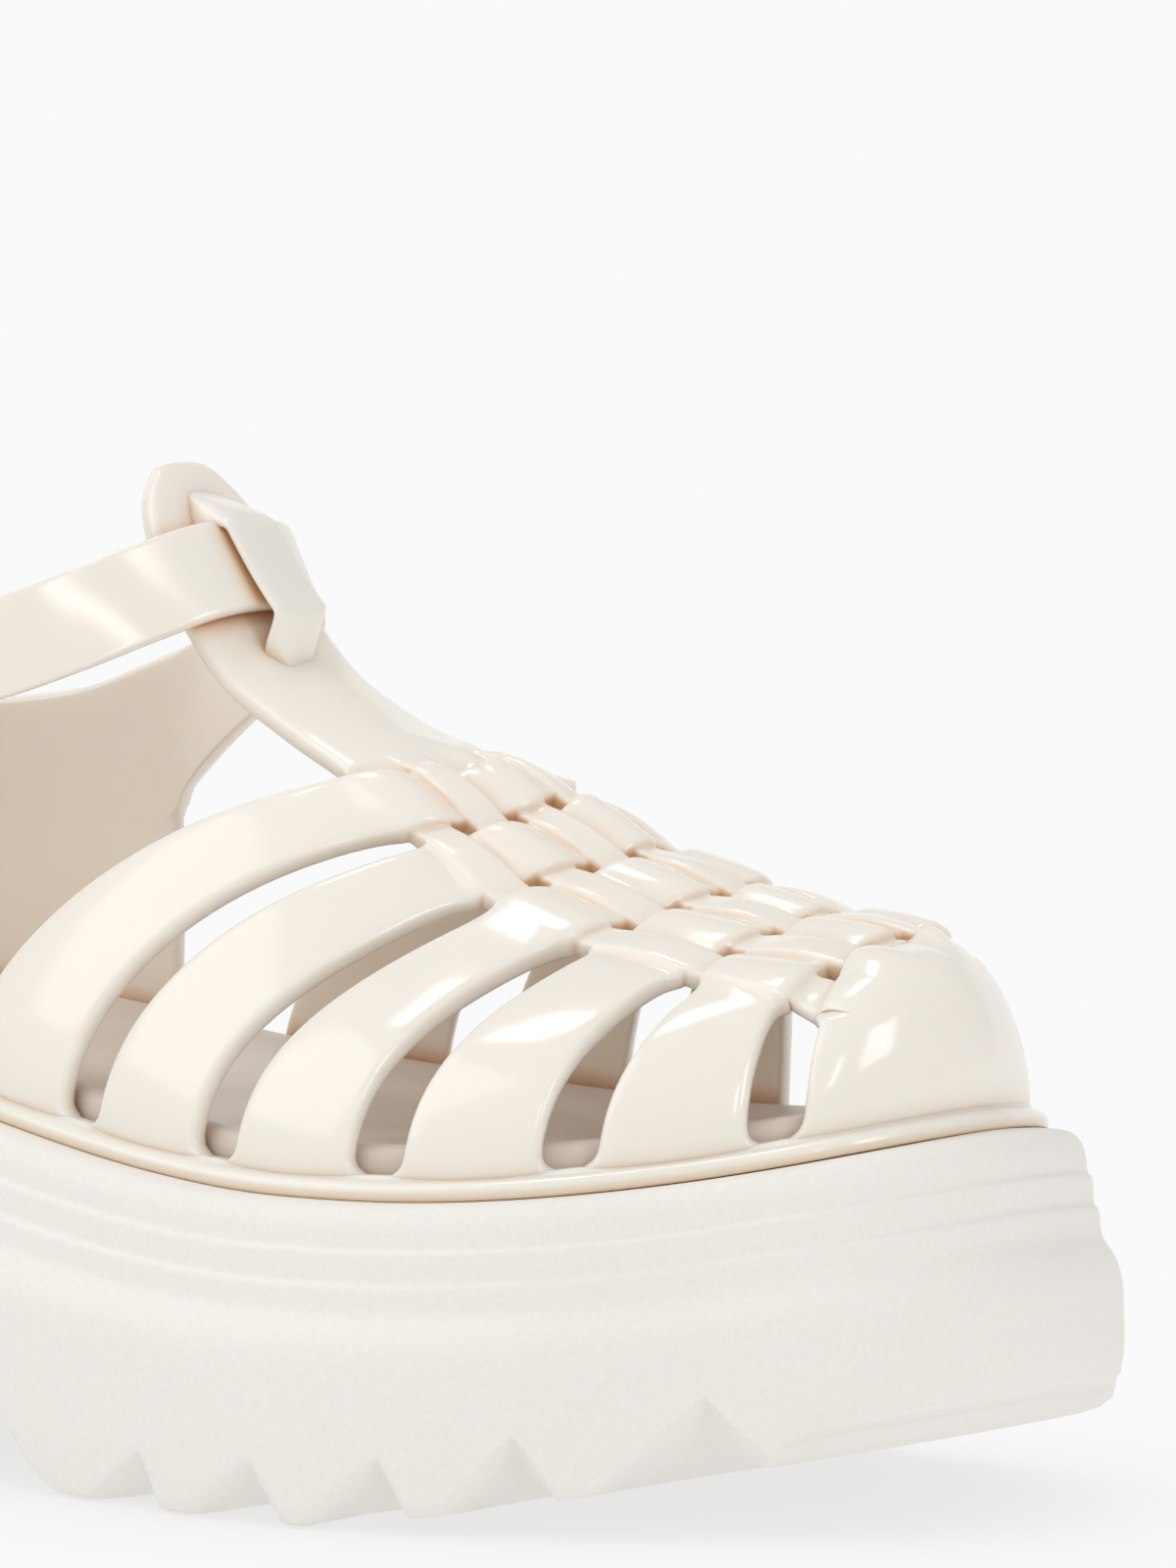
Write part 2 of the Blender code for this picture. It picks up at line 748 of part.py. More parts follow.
def tube(bm, path, radius, sides, closed):
    """Round bar along points of a path."""
    points = [Vector(p) for p in path]
    count = len(points)
    loops = []
    for k, point in enumerate(points):
        before = points[(k - 1) % count] if closed or k else points[0]
        after = points[(k + 1) % count] if closed or k < count - 1 else points[-1]
        run = (after - before).normalized()
        turn = run.to_track_quat("Z", "Y")
        loop = []
        for m in range(sides):
            angle = 2 * math.pi * m / sides
            spoke = Vector((math.cos(angle), math.sin(angle), 0)) * radius
            loop.append(bm.verts.new(point + turn @ spoke))
        loops.append(loop)
    spans = count if closed else count - 1
    for k in range(spans):
        here, there = loops[k], loops[(k + 1) % count]
        for m in range(sides):
            n = (m + 1) % sides
            bm.faces.new((here[m], here[n], there[n], there[m]))
    if not closed:
        bm.faces.new(loops[0][::-1])
        bm.faces.new(loops[-1])
    bmesh.ops.recalc_face_normals(bm, faces=bm.faces)


def build_buckle_frame():
    """Wire frame with rounded corners; its bars stand across the strap."""
    rear, front = Vector(REAR_BAR), Vector(FRONT_BAR)
    run = (front - rear).normalized()
    length = (front - rear).length
    turns = (
        (length, 1, 0),
        (0.0, 1, 90),
        (0.0, -1, 180),
        (length, -1, 270),
    )
    path = []
    for along, side, start in turns:
        centre = along + (BUCKLE_CORNER if along == 0.0 else -BUCKLE_CORNER)
        across = side * (BUCKLE_HALF_WIDTH - BUCKLE_CORNER)
        for step in range(4):
            angle = math.radians(start + 30 * step)
            a = centre + BUCKLE_CORNER * math.cos(angle)
            b = across + BUCKLE_CORNER * math.sin(angle)
            path.append(rear + run * a + Vector((0, 0, b)))
    bm = bmesh.new()
    tube(bm, path, BAR_RADIUS, 8, True)
    return new_object("buckle_frame", bm, (0.75, 0.74, 0.72), 0.2)


def build_prong():
    """Prong hooked round the rear bar, out through the strap and over the front bar."""
    rear, front = Vector(REAR_BAR), Vector(FRONT_BAR)
    rear.z = front.z = PRONG_Z
    run = (front - rear).normalized()
    out = Vector((run.y, -run.x, 0))
    reach = BAR_RADIUS + GAP + PRONG_RADIUS
    path = []
    for degrees in (60, 90, 120, 150, 180, 210, 240):
        angle = math.radians(degrees)
        path.append(rear + run * reach * math.cos(angle) - out * reach * math.sin(angle))
    path += [rear + out * reach, front + out * (reach + 0.1), front + run * 2.0 + out * reach]
    bm = bmesh.new()
    tube(bm, path, PRONG_RADIUS, 8, False)
    return new_object("buckle_prong", bm, (0.75, 0.74, 0.72), 0.2)


def build_keeper():
    """Bridge on the T-bar that the ankle strap passes under."""
    rows = []
    foot_low, foot_high = 148.2, 132.4
    places = np.linspace(0.0, 1.0, 9)
    for share in places:
        x = foot_low + (foot_high - foot_low) * share
        y, z = table_value(CREST, x)
        ahead = table_value(CREST, x + 1.0)
        normal = np.array((z - ahead[1], 0.0, 1.0))
        normal /= np.linalg.norm(normal)
        arch = min(1.0, 6.0 * share, 6.0 * (1 - share))
        lift = -WALL / 2 + (WALL + STRAP_WALL + 2.4) * smooth(arch)
        middle = np.array((x, y, z)) + normal * lift
        rows.append([middle + np.array((0, side, 0)) for side in (-4.2, 0.0, 4.2)])
    bm = bmesh.new()
    lattice(bm, rows, lambda i, j: True)
    bmesh.ops.recalc_face_normals(bm, faces=bm.faces)
    obj = new_object("keeper_guide", bm, None, 0, guide=True)
    add_wall(obj, 2.2)
    return obj


def build_prong_hole():
    """Cutter for the hole in the ankle strap that takes the prong."""
    length, height = PRONG_HOLE
    middle = (Vector(REAR_BAR) + Vector(FRONT_BAR)) / 2
    bm = bmesh.new()
    bmesh.ops.create_cube(bm, size=1.0)
    place = Matrix.Translation((middle.x - 0.9, middle.y - 1.4, PRONG_Z))
    bm.transform(place @ Matrix.Diagonal((length, 7.0, height, 1.0)))
    return new_object("prong_hole_guide", bm, None, 0, guide=True)


def build_post(name, radius, low, high):
    """Upright round guide on the rear bar's line."""
    bm = bmesh.new()
    bmesh.ops.create_cone(bm, cap_ends=True, segments=16, radius1=radius, radius2=radius,
                          depth=high - low)
    bm.transform(Matrix.Translation((REAR_BAR[0], REAR_BAR[1], (low + high) / 2)))
    return new_object(name, bm, None, 0, guide=True)


def build_upper():
    """One moulded solid: cage, T-bar, keeper, rim band, counter and ankle strap."""
    upper = build_cage()
    add_wall(upper, WALL)
    z = REAR_BAR[2]
    notch = PRONG_RADIUS + 0.7
    eye = build_post("eye_guide", EYE_RADIUS, z - TAB_HALF_WIDTH, z + TAB_HALF_WIDTH)
    bore = build_post("bore_guide", BAR_RADIUS + GAP, z - 9.0, z + 9.0)
    hook = build_post("hook_guide", EYE_RADIUS + 0.5, PRONG_Z - notch, PRONG_Z + notch)
    steps = (
        (build_band(), "UNION"),
        (build_counter(), "UNION"),
        (build_keeper(), "UNION"),
        (eye, "UNION"),
        (bore, "DIFFERENCE"),
        (hook, "DIFFERENCE"),
        (build_prong_hole(), "DIFFERENCE"),
    )
    for guide, operation in steps:
        join = upper.modifiers.new(guide.name, "BOOLEAN")
        join.operation = operation
        join.object = guide
        join.solver = "EXACT"
    return upper


def clear_scene():
    for obj in list(bpy.data.objects):
        bpy.data.objects.remove(obj, do_unlink=True)


def main():
    clear_scene()
    build_sole()
    build_insole()
    build_upper()
    build_buckle_frame()
    build_prong()


main()
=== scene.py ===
import math

import bmesh
import bpy
import numpy as np
from mathutils import Matrix, Vector


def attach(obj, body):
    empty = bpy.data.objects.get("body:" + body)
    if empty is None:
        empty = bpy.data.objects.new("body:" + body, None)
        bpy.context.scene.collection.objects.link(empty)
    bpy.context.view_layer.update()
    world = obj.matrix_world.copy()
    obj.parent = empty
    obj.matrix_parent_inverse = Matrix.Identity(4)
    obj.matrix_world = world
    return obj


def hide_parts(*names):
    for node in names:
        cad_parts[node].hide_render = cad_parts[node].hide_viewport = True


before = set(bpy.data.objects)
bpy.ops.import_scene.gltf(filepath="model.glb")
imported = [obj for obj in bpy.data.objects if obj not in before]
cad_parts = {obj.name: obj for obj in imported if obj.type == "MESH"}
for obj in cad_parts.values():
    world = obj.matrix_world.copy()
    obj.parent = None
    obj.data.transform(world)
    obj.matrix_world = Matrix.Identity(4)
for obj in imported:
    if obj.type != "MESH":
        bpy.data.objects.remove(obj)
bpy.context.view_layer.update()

# Lengths are millimetres from the heel along X and from the sole's middle line along Y;
# they become metres around the sole's middle when a mesh is made. Stations are
# millimetres along the edge of the last from the tip of the toe, outer side positive.
MM = 0.001
CENTRE = (129.0, -0.65)

# Last and platform
LAST_LENGTH = 258.0
TIP_Y = 4.0
RIM_HEIGHT = 39.6
HEEL_RISE = 11.4
HEEL_RISE_SPAN = (188.0, 76.0)
TOE_RISE = 9.5
TOE_RISE_START = 196.0
TREAD_TOE_LIFT = 14.0
TREAD_TOE_SPAN = (198.0, 268.0)
ARCH_LIFT = 9.5
ARCH_FRONT = (158.0, 143.0)
ARCH_BACK = (74.0, 90.0)
HEEL_BEVEL = 3.0
HEEL_BEVEL_START = 6.0
TREAD_INSET = 4.0
TOE_LIP = 3.3
TOE_LIP_STATION = 33.0
WALL_OUTSET = 10.5

# Upper
WALL = 2.6
WALL_INSET = 2.0
FOOT_HEIGHT = 1.1
SILL = 2.9
SLOT_WIDTH = 7.3
CREST_GAP = 1.8
STRIPS = 5
STRIP_GAP = 0.26
CREST_DROP = 0.9
RIB_ROUND = 1.98
SPREAD_POWERS = (0.4, 1.96)
CAP_ROUND = 3.1
# How sharply the straps start to spread below the weave, and how much fuller the cap is
SPREAD_ONSET = 28.0
CAP_FULLNESS = 0.9
# Factors that bring each bump of the line over the foot to a peak of 1
TILT_PEAK = 2.6
SHOULDER_PEAK = 6.75
CROWN_PEAK = 9.5

# Weave: how far strips and straps swing out and in, and the rounding of their edges
SWING = 1.05
FAR_BUMP = (2.3, 1.3)
EDGE_ROLL = 0.9
ROLL_DEPTH = 0.62
STRAP_CROWN = 0.35
# Strips sink into the T-bar and the cap over these lengths, to this share of the swing
STRIP_LEAD = 7.0
STRIP_TAIL = 6.0
STRIP_REST = -0.3
BURIED = -9.0
# T-bar where the weave starts, and its own rounder edge
T_BAR_SINK = 0.9
T_BAR_ROLL = 1.4
# Cap: share of its depth over which its rear lip fades, and that depth
CAP_LIP = 0.4
CAP_DEPTH = 16.0

# Edge of the last: x from the heel, outer half width, inner half width
LAST_WIDTHS = (
    (9.0, 20.0, 20.0),
    (34.0, 31.0, 30.0),
    (70.0, 32.5, 29.0),
    (108.0, 33.8, 27.8),
    (139.0, 41.2, 33.3),
    (166.0, 46.2, 43.4),
    (192.0, 48.0, 46.9),
    (216.0, 40.6, 44.4),
    (236.0, 27.0, 41.2),
    (251.0, 14.5, 27.5),
)

# Side of the platform from its top edge down: outset, drop, rounding of the corner
SIDE_STEPS = (
    (-1.0, 0.0, 0.0),
    (3.4, 0.1, 1.2),
    (4.9, 2.4, 1.0),
    (5.2, 5.4, 0.3),
    (5.9, 5.9, 0.3),
    (6.1, 9.4, 0.3),
    (6.8, 10.0, 0.4),
    (7.0, 13.2, 0.9),
    (9.2, 16.2, 1.2),
    (10.0, 19.2, 1.4),
    (10.2, 24.0, 0.0),
)
# Its bottom from the wall inwards: outset, share of the lip, share of the scoops
EDGE_STEPS = (
    (WALL_OUTSET, 1.0, 1.0),
    (WALL_OUTSET - 0.35, 0.95, 1.0),
    (WALL_OUTSET - 0.9, 0.85, 0.98),
    (WALL_OUTSET - 1.4, 0.0, 0.92),
    (-TREAD_INSET, 0.0, 0.0),
    (-TREAD_INSET, 0.0, 0.0),
)
# Longest steps round the foot on the platform and on the footbed
PLATFORM_STEP = 2.6
FOOTBED_STEP = 5.0

# Scoops between the lugs: start, apex and end station on each side, depth
FORE_SCOOPS = (
    (117.0, 108.0, 104.5, 6.8),
    (100.4, 92.0, 88.0, 7.2),
    (85.8, 77.0, 73.4, 7.6),
    (69.3, 62.0, 57.2, 8.4),
    (53.0, 40.0, 32.0, 9.6),
)
# The same for the heel, from the middle of the heel
HEEL_SCOOPS = (
    (66.0, 57.0, 53.0, 6.8),
    (48.5, 39.5, 35.5, 6.8),
    (31.0, 22.0, 18.0, 6.4),
)

# Crest of the cage, outer skin: x, y, z
CREST = (
    (129.0, 1.8, 130.5),
    (132.6, 2.0, 125.0),
    (137.0, 2.4, 117.8),
    (141.4, 2.8, 111.2),
    (147.0, 3.0, 104.8),
    (155.0, 3.0, 99.6),
    (164.0, 3.2, 95.4),
    (176.0, 3.6, 92.0),
    (188.0, 4.2, 86.0),
    (198.0, 4.8, 81.2),
    (211.0, 5.6, 76.7),
    (225.0, 6.6, 74.1),
    (243.0, 8.0, 72.6),
)

# Across the cage at each crest x: half weave outer and inner, tilt to the inner side,
# how far the outer shoulder stands up again, and the inner crown
ACROSS = (
    (164.0, 12.0, 12.0, 0.8, 0.3, 0.5),
    (176.0, 13.4, 13.2, -1.2, 2.3, 3.0),
    (188.0, 14.5, 13.6, 2.9, 3.1, 1.6),
    (198.0, 16.3, 14.0, 2.7, -0.3, 0.6),
    (211.0, 17.8, 14.0, 3.6, 0.5, 0.3),
    (225.0, 18.6, 13.0, 3.0, 0.6, 0.0),
    (243.0, 19.6, 8.6, 2.2, 2.5, 0.0),
)

# Gaps between the cage's straps: outer station, crest x, inner station, crest slant
STRAP_GAPS = (
    (134.0, 187.2, -129.0, 0.43),
    (108.5, 199.0, -103.0, 0.42),
    (82.5, 212.4, -77.0, 0.35),
    (57.0, 226.2, -51.0, 0.16),
    (31.5, 240.4, -25.0, 0.18),
)
REAR_EDGE = (160.0, 177.6, -155.5, 0.37)
STRAPS = len(STRAP_GAPS)

# T-bar from its rounded end down: crest x, half width
T_BAR = (
    (129.2, 4.6),
    (130.8, 8.2),
    (133.4, 10.4),
    (137.6, 11.2),
    (142.6, 11.2),
    (148.4, 11.0),
    (155.0, 10.8),
    (161.5, 11.0),
    (168.2, 11.9),
)
T_BAR_CROWN = 26.0

# Heel counter's top line: share of its run from the inner front, height over the rim, lean
COUNTER_TOP = (
    (0.00, 54.6, 3.6),
    (0.05, 48.4, 4.0),
    (0.10, 45.4, 4.3),
    (0.18, 44.4, 4.4),
    (0.36, 47.0, 3.4),
    (0.50, 54.5, 3.0),
    (0.64, 47.0, 3.4),
    (0.84, 44.4, 4.4),
    (1.00, 47.5, 4.4),
)
COUNTER_INNER_X = 112.0
COUNTER_OUTER_X = 98.0
COUNTER_BELLY = 1.2

# Ankle strap's middle line from the counter over the T-bar: x, y, z, tilt, width
ANKLE_STRAP = (
    (119.6, 22.4, 97.6, 10.0, 15.4),
    (129.2, 21.2, 104.4, 16.0, 13.8),
    (137.4, 17.4, 110.6, 23.0, 13.0),
    (141.8, 11.4, 114.8, 29.0, 13.0),
    (142.2, 3.4, 115.8, 32.0, 13.0),
    (140.9, -5.0, 115.2, 30.0, 13.0),
    (136.8, -13.0, 112.4, 25.0, 13.0),
    (131.0, -20.6, 108.6, 18.0, 13.0),
    (124.0, -27.2, 105.0, 12.0, 13.0),
    (117.0, -31.0, 102.8, 8.0, 13.0),
    (110.5, -33.9, 101.4, 6.0, 13.0),
    (104.0, -35.4, 100.4, 5.0, 13.0),
    (97.0, -34.0, 99.4, 4.0, 13.0),
    (89.0, -31.4, 98.6, 4.0, 12.4),
    (82.5, -30.8, 98.0, 4.0, 10.0),
    (79.5, -30.6, 97.8, 4.0, 5.0),
)
# Edges of the strap's root where it grows out of the counter: x, y, z
ROOT_LOWER = ((113.0, 24.5, 83.0), (114.9, 24.1, 85.2), (117.5, 23.4, 87.5))
ROOT_UPPER = ((113.4, 21.6, 103.2), (115.4, 21.9, 104.1), (117.0, 22.2, 104.8))

# Keeper: crest x of its two ends, steps along it, points round it
KEEPER_ENDS = (151.0, 130.8)
KEEPER_STEPS = 48
KEEPER_SIDES = 24

# Buckle
REAR_BAR = (104.0, -30.4, 100.2)
FRONT_BAR = (117.8, -34.2, 102.6)
BAR_RADIUS = 1.1
BUCKLE_HALF_WIDTH = 8.3
BUCKLE_CORNER = 2.4
PRONG_RADIUS = 0.8
PRONG_Z = 101.2
TAB_HALF_WIDTH = 5.2
# Domed end of a bar, from its tip: share of the radius, how far it lies ahead
DOME = ((0.0, 0.8), (0.6, 0.65), (0.9, 0.35), (1.0, 0.0))

# Camera, low in front of the outer side: azimuth, elevation and roll in degrees
CAMERA_ANGLES = (36.0, 3.0, -0.90)
CAMERA_TARGET = (197.4, 1.2, 89.4)
CAMERA_DISTANCE = 1.059
CAMERA_LENS = 190.67

# Floor sweep in metres: flat run in front of and behind the shoe, bend, half width
SWEEP_FRONT = 2.0
SWEEP_RUN = 4.0
SWEEP_BEND = 1.6
SWEEP_STEEPNESS = 1.4
SWEEP_HALF_WIDTH = 4.0
FLAT_SHARE = 0.6
LIGHT_TARGET = (0.05, 0.0, 0.05)


def table_value(rows, x):
    """Smooth value at x of a table whose first column rises."""
    table = np.asarray(rows, float)
    xs = table[:, 0]
    slopes = np.gradient(table[:, 1:], xs, axis=0)
    k = int(np.clip(np.searchsorted(xs, x) - 1, 0, len(xs) - 2))
    width = xs[k + 1] - xs[k]
    u = (x - xs[k]) / width
    start = (2 * u**3 - 3 * u**2 + 1) * table[k, 1:]
    end = (3 * u**2 - 2 * u**3) * table[k + 1, 1:]
    leave = (u**3 - 2 * u**2 + u) * width * slopes[k]
    arrive = (u**3 - u**2) * width * slopes[k + 1]
    return start + end + leave + arrive


def closed_curve(knots, per_span):
    """Points on a smooth closed curve through the knots."""
    ring = np.vstack([knots[-3:], knots, knots[:3]])
    chords = np.linalg.norm(np.diff(ring, axis=0), axis=1)
    t = np.concatenate(([0.0], np.cumsum(np.sqrt(chords))))
    rows = np.column_stack([t, ring])
    span = np.linspace(t[3], t[3 + len(knots)], per_span * len(knots), endpoint=False)
    return np.array([table_value(rows, u) for u in span])


def smooth(share):
    share = min(max(share, 0.0), 1.0)
    return share * share * (3 - 2 * share)


class Outline:
    """Edge of the last in plan, read by station and outset."""

    def __init__(self):
        outer = [(x, -half) for x, half, _ in LAST_WIDTHS]
        inner = [(x, half) for x, _, half in reversed(LAST_WIDTHS)]
        knots = np.array([(0.0, 0.0)] + outer + [(LAST_LENGTH, TIP_Y)] + inner)
        points = closed_curve(knots, 40)
        tip = int(np.argmax(points[:, 0]))
        points = np.roll(np.roll(points, -tip, axis=0)[::-1], 1, axis=0)
        self.ring = np.vstack([points, points[:1]])
        steps = np.linalg.norm(np.diff(self.ring, axis=0), axis=1)
        self.arc = np.concatenate(([0.0], np.cumsum(steps)))
        self.length = self.arc[-1]
        self.outer_length = self.arc[int(np.argmin(points[:, 0]))]
        self.inner_length = self.length - self.outer_length

    def edge(self, station):
        s = station % self.length
        x = np.interp(s, self.arc, self.ring[:, 0])
        y = np.interp(s, self.arc, self.ring[:, 1])
        return np.array((x, y))

    def at(self, station, outset):
        reach = 2.5
        run = self.edge(station + reach) - self.edge(station - reach)
        run /= np.linalg.norm(run)
        return self.edge(station) + outset * np.array((-run[1], run[0]))

    def station_at(self, x, side):
        """Station where one side of the edge has this x; side is 1 outer, -1 inner."""
        length = self.outer_length if side > 0 else self.inner_length
        stations = np.linspace(20.0, length, 400)
        xs = np.array([self.edge(side * s)[0] for s in stations])
        return side * float(np.interp(-x, -xs, stations))


OUTLINE = Outline()


def rim_z(x):
    start, end = HEEL_RISE_SPAN
    heel = HEEL_RISE * smooth((start - x) / (start - end))
    toe = max(0.0, (x - TOE_RISE_START) / (LAST_LENGTH - TOE_RISE_START))
    return RIM_HEIGHT + heel + TOE_RISE * toe * toe


def tread_z(x):
    toe_start, toe_end = TREAD_TOE_SPAN
    toe = max(0.0, (x - toe_start) / (toe_end - toe_start))
    front = smooth((ARCH_FRONT[0] - x) / (ARCH_FRONT[0] - ARCH_FRONT[1]))
    back = smooth((x - ARCH_BACK[0]) / (ARCH_BACK[1] - ARCH_BACK[0]))
    heel = max(0.0, (HEEL_BEVEL_START - x) / (HEEL_BEVEL_START + WALL_OUTSET))
    return TREAD_TOE_LIFT * toe**1.25 + ARCH_LIFT * front * back + HEEL_BEVEL * heel


# Materials


def hex_colour(code):
    """Linear colour of an sRGB hex value."""
    channels = [int(code[k:k + 2], 16) / 255 for k in (1, 3, 5)]
    linear = [c / 12.92 if c <= 0.04045 else ((c + 0.055) / 1.055) ** 2.4 for c in channels]
    return (*linear, 1.0)


def add_node(tree, kind, inputs=None, **settings):
    """Node with its settings; an input is a value or the socket that feeds it."""
    made = tree.nodes.new(kind)
    for name, value in settings.items():
        setattr(made, name, value)
    for name, value in (inputs or {}).items():
        if isinstance(value, bpy.types.NodeSocket):
            tree.links.new(value, made.inputs[name])
        else:
            made.inputs[name].default_value = value
    return made


def new_material(name, values):
    """Material with a Principled shader whose plain values are set on its own sockets."""
    mat = bpy.data.materials.new(name)
    mat.use_nodes = True
    tree = mat.node_tree
    shader = tree.nodes["Principled BSDF"]
    for key, value in values.items():
        shader.inputs[key].default_value = value
    return mat, tree, shader


def moulded_pvc():
    """Injection-moulded soft PVC off a polished tool: a wet gloss over a body that
    lets light in a little, so thin edges glow warm; creases also get painted shade, a darker
    warm brown, so they read warm instead of grey."""
    mat, tree, shader = new_material("moulded_pvc_jelly_gloss", {
        "Roughness": 0.13,
        "IOR": 1.53,
        "Subsurface Weight": 0.35,
        "Subsurface Radius": (1.0, 0.55, 0.30),
        "Subsurface Scale": 0.004,
    })
    coord = add_node(tree, "ShaderNodeTexCoord")
    # Painted shade: crevices, judged by ambient occlusion over 3 mm of their surroundings, the
    # depth that light travels in the jelly, are coloured a darker warm brown
    painted_crevice_shade = add_node(tree, "ShaderNodeAmbientOcclusion", {"Distance": 0.003}, samples=8)
    depth = add_node(tree, "ShaderNodeMapRange", {
        "Value": painted_crevice_shade.outputs["AO"],
        "From Min": 0.35,
        "From Max": 0.95,
    })
    # Painted shade colour: darker warm brown where the occlusion is deep, plain cream elsewhere
    colour = add_node(tree, "ShaderNodeMix", {
        "Factor": depth.outputs["Result"],
        "A": hex_colour("#E0B98E"),
        "B": hex_colour("#F8F0E6"),
    }, data_type="RGBA")
    tree.links.new(colour.outputs[2], shader.inputs["Base Color"])
    # Flow of the cooling plastic leaves waves about 14 mm long that only a reflection shows
    waves = add_node(tree, "ShaderNodeTexNoise", {
        "Vector": coord.outputs["Object"],
        "Scale": 70.0,
        "Detail": 1.0,
    })
    bump = add_node(tree, "ShaderNodeBump", {
        "Height": waves.outputs["Fac"],
        "Strength": 0.12,
        "Distance": 0.0004,
    })
    tree.links.new(bump.outputs["Normal"], shader.inputs["Normal"])
    return mat


def add_grain(tree, shader, scale, detail, hollow, raised, strength):
    """Grain up to 0.3 mm deep, with a colour for its hollows and one for what is raised."""
    coord = add_node(tree, "ShaderNodeTexCoord")
    grain = add_node(tree, "ShaderNodeTexNoise", {
        "Vector": coord.outputs["Object"],
        "Scale": scale,
        "Detail": detail,
    })
    colour = add_node(tree, "ShaderNodeMix", {
        "Factor": grain.outputs["Fac"],
        "A": hex_colour(hollow),
        "B": hex_colour(raised),
    }, data_type="RGBA")
    tree.links.new(colour.outputs[2], shader.inputs["Base Color"])
    bump = add_node(tree, "ShaderNodeBump", {
        "Height": grain.outputs["Fac"],
        "Strength": strength,
        "Distance": 0.0003,
    })
    tree.links.new(bump.outputs["Normal"], shader.inputs["Normal"])


def moulded_foam():
    """Injection-moulded EVA foam with a fine grain from the tool: matt and chalky,
    a touch darker in the grain."""
    mat, tree, shader = new_material("moulded_eva_foam_grained", {
        "Roughness": 0.55,
        "IOR": 1.49,
        "Subsurface Weight": 0.08,
        "Subsurface Radius": (1.0, 0.85, 0.7),
        "Subsurface Scale": 0.002,
    })
    add_grain(tree, shader, 1400.0, 2.0, "#EDE9E3", "#F7F3ED", 0.25)
    return mat


def pressed_footbed():
    """Smooth pressed PU footbed: a satin sheen on grey-pink beige."""
    mat, tree, shader = new_material("pressed_pu_footbed_satin", {
        "Roughness": 0.34,
        "IOR": 1.48,
    })
    add_grain(tree, shader, 220.0, 3.0, "#D9CBC1", "#E4D8CE", 0.2)
    return mat


def polished_nickel():
    """Nickel-plated steel wire, tumbled bright: mirror gloss with hair-fine wear."""
    mat, tree, shader = new_material("polished_nickel_plate", {
        "Base Color": hex_colour("#D8D4CC"),
        "Metallic": 1.0,
    })
    coord = add_node(tree, "ShaderNodeTexCoord")
    wear = add_node(tree, "ShaderNodeTexNoise", {
        "Vector": coord.outputs["Object"],
        "Scale": 900.0,
        "Detail": 3.0,
    })
    rough = add_node(tree, "ShaderNodeMapRange", {
        "Value": wear.outputs["Fac"],
        "To Min": 0.14,
        "To Max": 0.28,
    })
    tree.links.new(rough.outputs["Result"], shader.inputs["Roughness"])
    return mat


JELLY = moulded_pvc()
FOAM = moulded_foam()
FOOTBED = pressed_footbed()
NICKEL = polished_nickel()


# Pieces


def shell(name, places, finish, wall=None, lift=None, keep=None, middle=None, levels=1):
    """Piece from a grid whose points are moved to their places, row by row.

    A wall makes it a hollow skin around the places, wall thick, and lift raises the
    outer side by its own height at each point.
    """
    rows, columns = places.shape[:2]
    flat = places.reshape(-1, 3)
    bm = bmesh.new()
    bmesh.ops.create_grid(bm, x_segments=columns - 1, y_segments=rows - 1, size=1.0)
    spot = bm.verts.layers.int.new("spot")
    for vert in bm.verts:
        i = round((vert.co.y + 1) / 2 * (rows - 1))
        j = round((vert.co.x + 1) / 2 * (columns - 1))
        vert[spot] = i * columns + j
        vert.co = places[i, j]
    if keep is not None:
        spare = []
        for face in bm.faces:
            corner = min(vert[spot] for vert in face.verts)
            if not keep(corner // columns, corner % columns):
                spare.append(face)
        bmesh.ops.delete(bm, geom=spare, context="FACES")
    bmesh.ops.remove_doubles(bm, verts=bm.verts, dist=0.02)
    bmesh.ops.recalc_face_normals(bm, faces=bm.faces)
    if wall is not None:
        heart = Vector(middle)
        if sum((face.calc_center_median() - heart).dot(face.normal) for face in bm.faces) < 0:
            bmesh.ops.reverse_faces(bm, faces=bm.faces)
        bm.normal_update()
        depth = np.broadcast_to(np.asarray(wall, float), places.shape[:2]).reshape(-1)
        height = np.zeros(len(flat)) if lift is None else lift.reshape(-1)
        lining = {}
        for vert in bm.verts:
            k = vert[spot]
            lining[k] = vert.co - vert.normal * (depth[k] / 2)
            vert.co = vert.co + vert.normal * (depth[k] / 2 + height[k])
        made = bmesh.ops.extrude_face_region(bm, geom=bm.faces[:], use_keep_orig=True)
        for item in made["geom"]:
            if isinstance(item, bmesh.types.BMVert):
                item.co = lining[item[spot]]
        bmesh.ops.recalc_face_normals(bm, faces=bm.faces)
    return finish_piece(name, bm, finish, levels)


def finish_piece(name, bm, finish, levels):
    """Object at the sole's middle from a mesh drawn in millimetres."""
    shift = Matrix.Translation((-CENTRE[0], -CENTRE[1], 0.0))
    bm.transform(Matrix.Scale(MM, 4) @ shift)
    mesh = bpy.data.meshes.new(name)
    bm.to_mesh(mesh)
    bm.free()
    mesh.shade_smooth()
    mesh.materials.append(finish)
    piece = bpy.data.objects.new(name, mesh)
    bpy.context.collection.objects.link(piece)
    if levels:
        round_off = piece.modifiers.new("round_off", "SUBSURF")
        round_off.levels = levels
        round_off.render_levels = levels
    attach(piece, "root")
    return piece


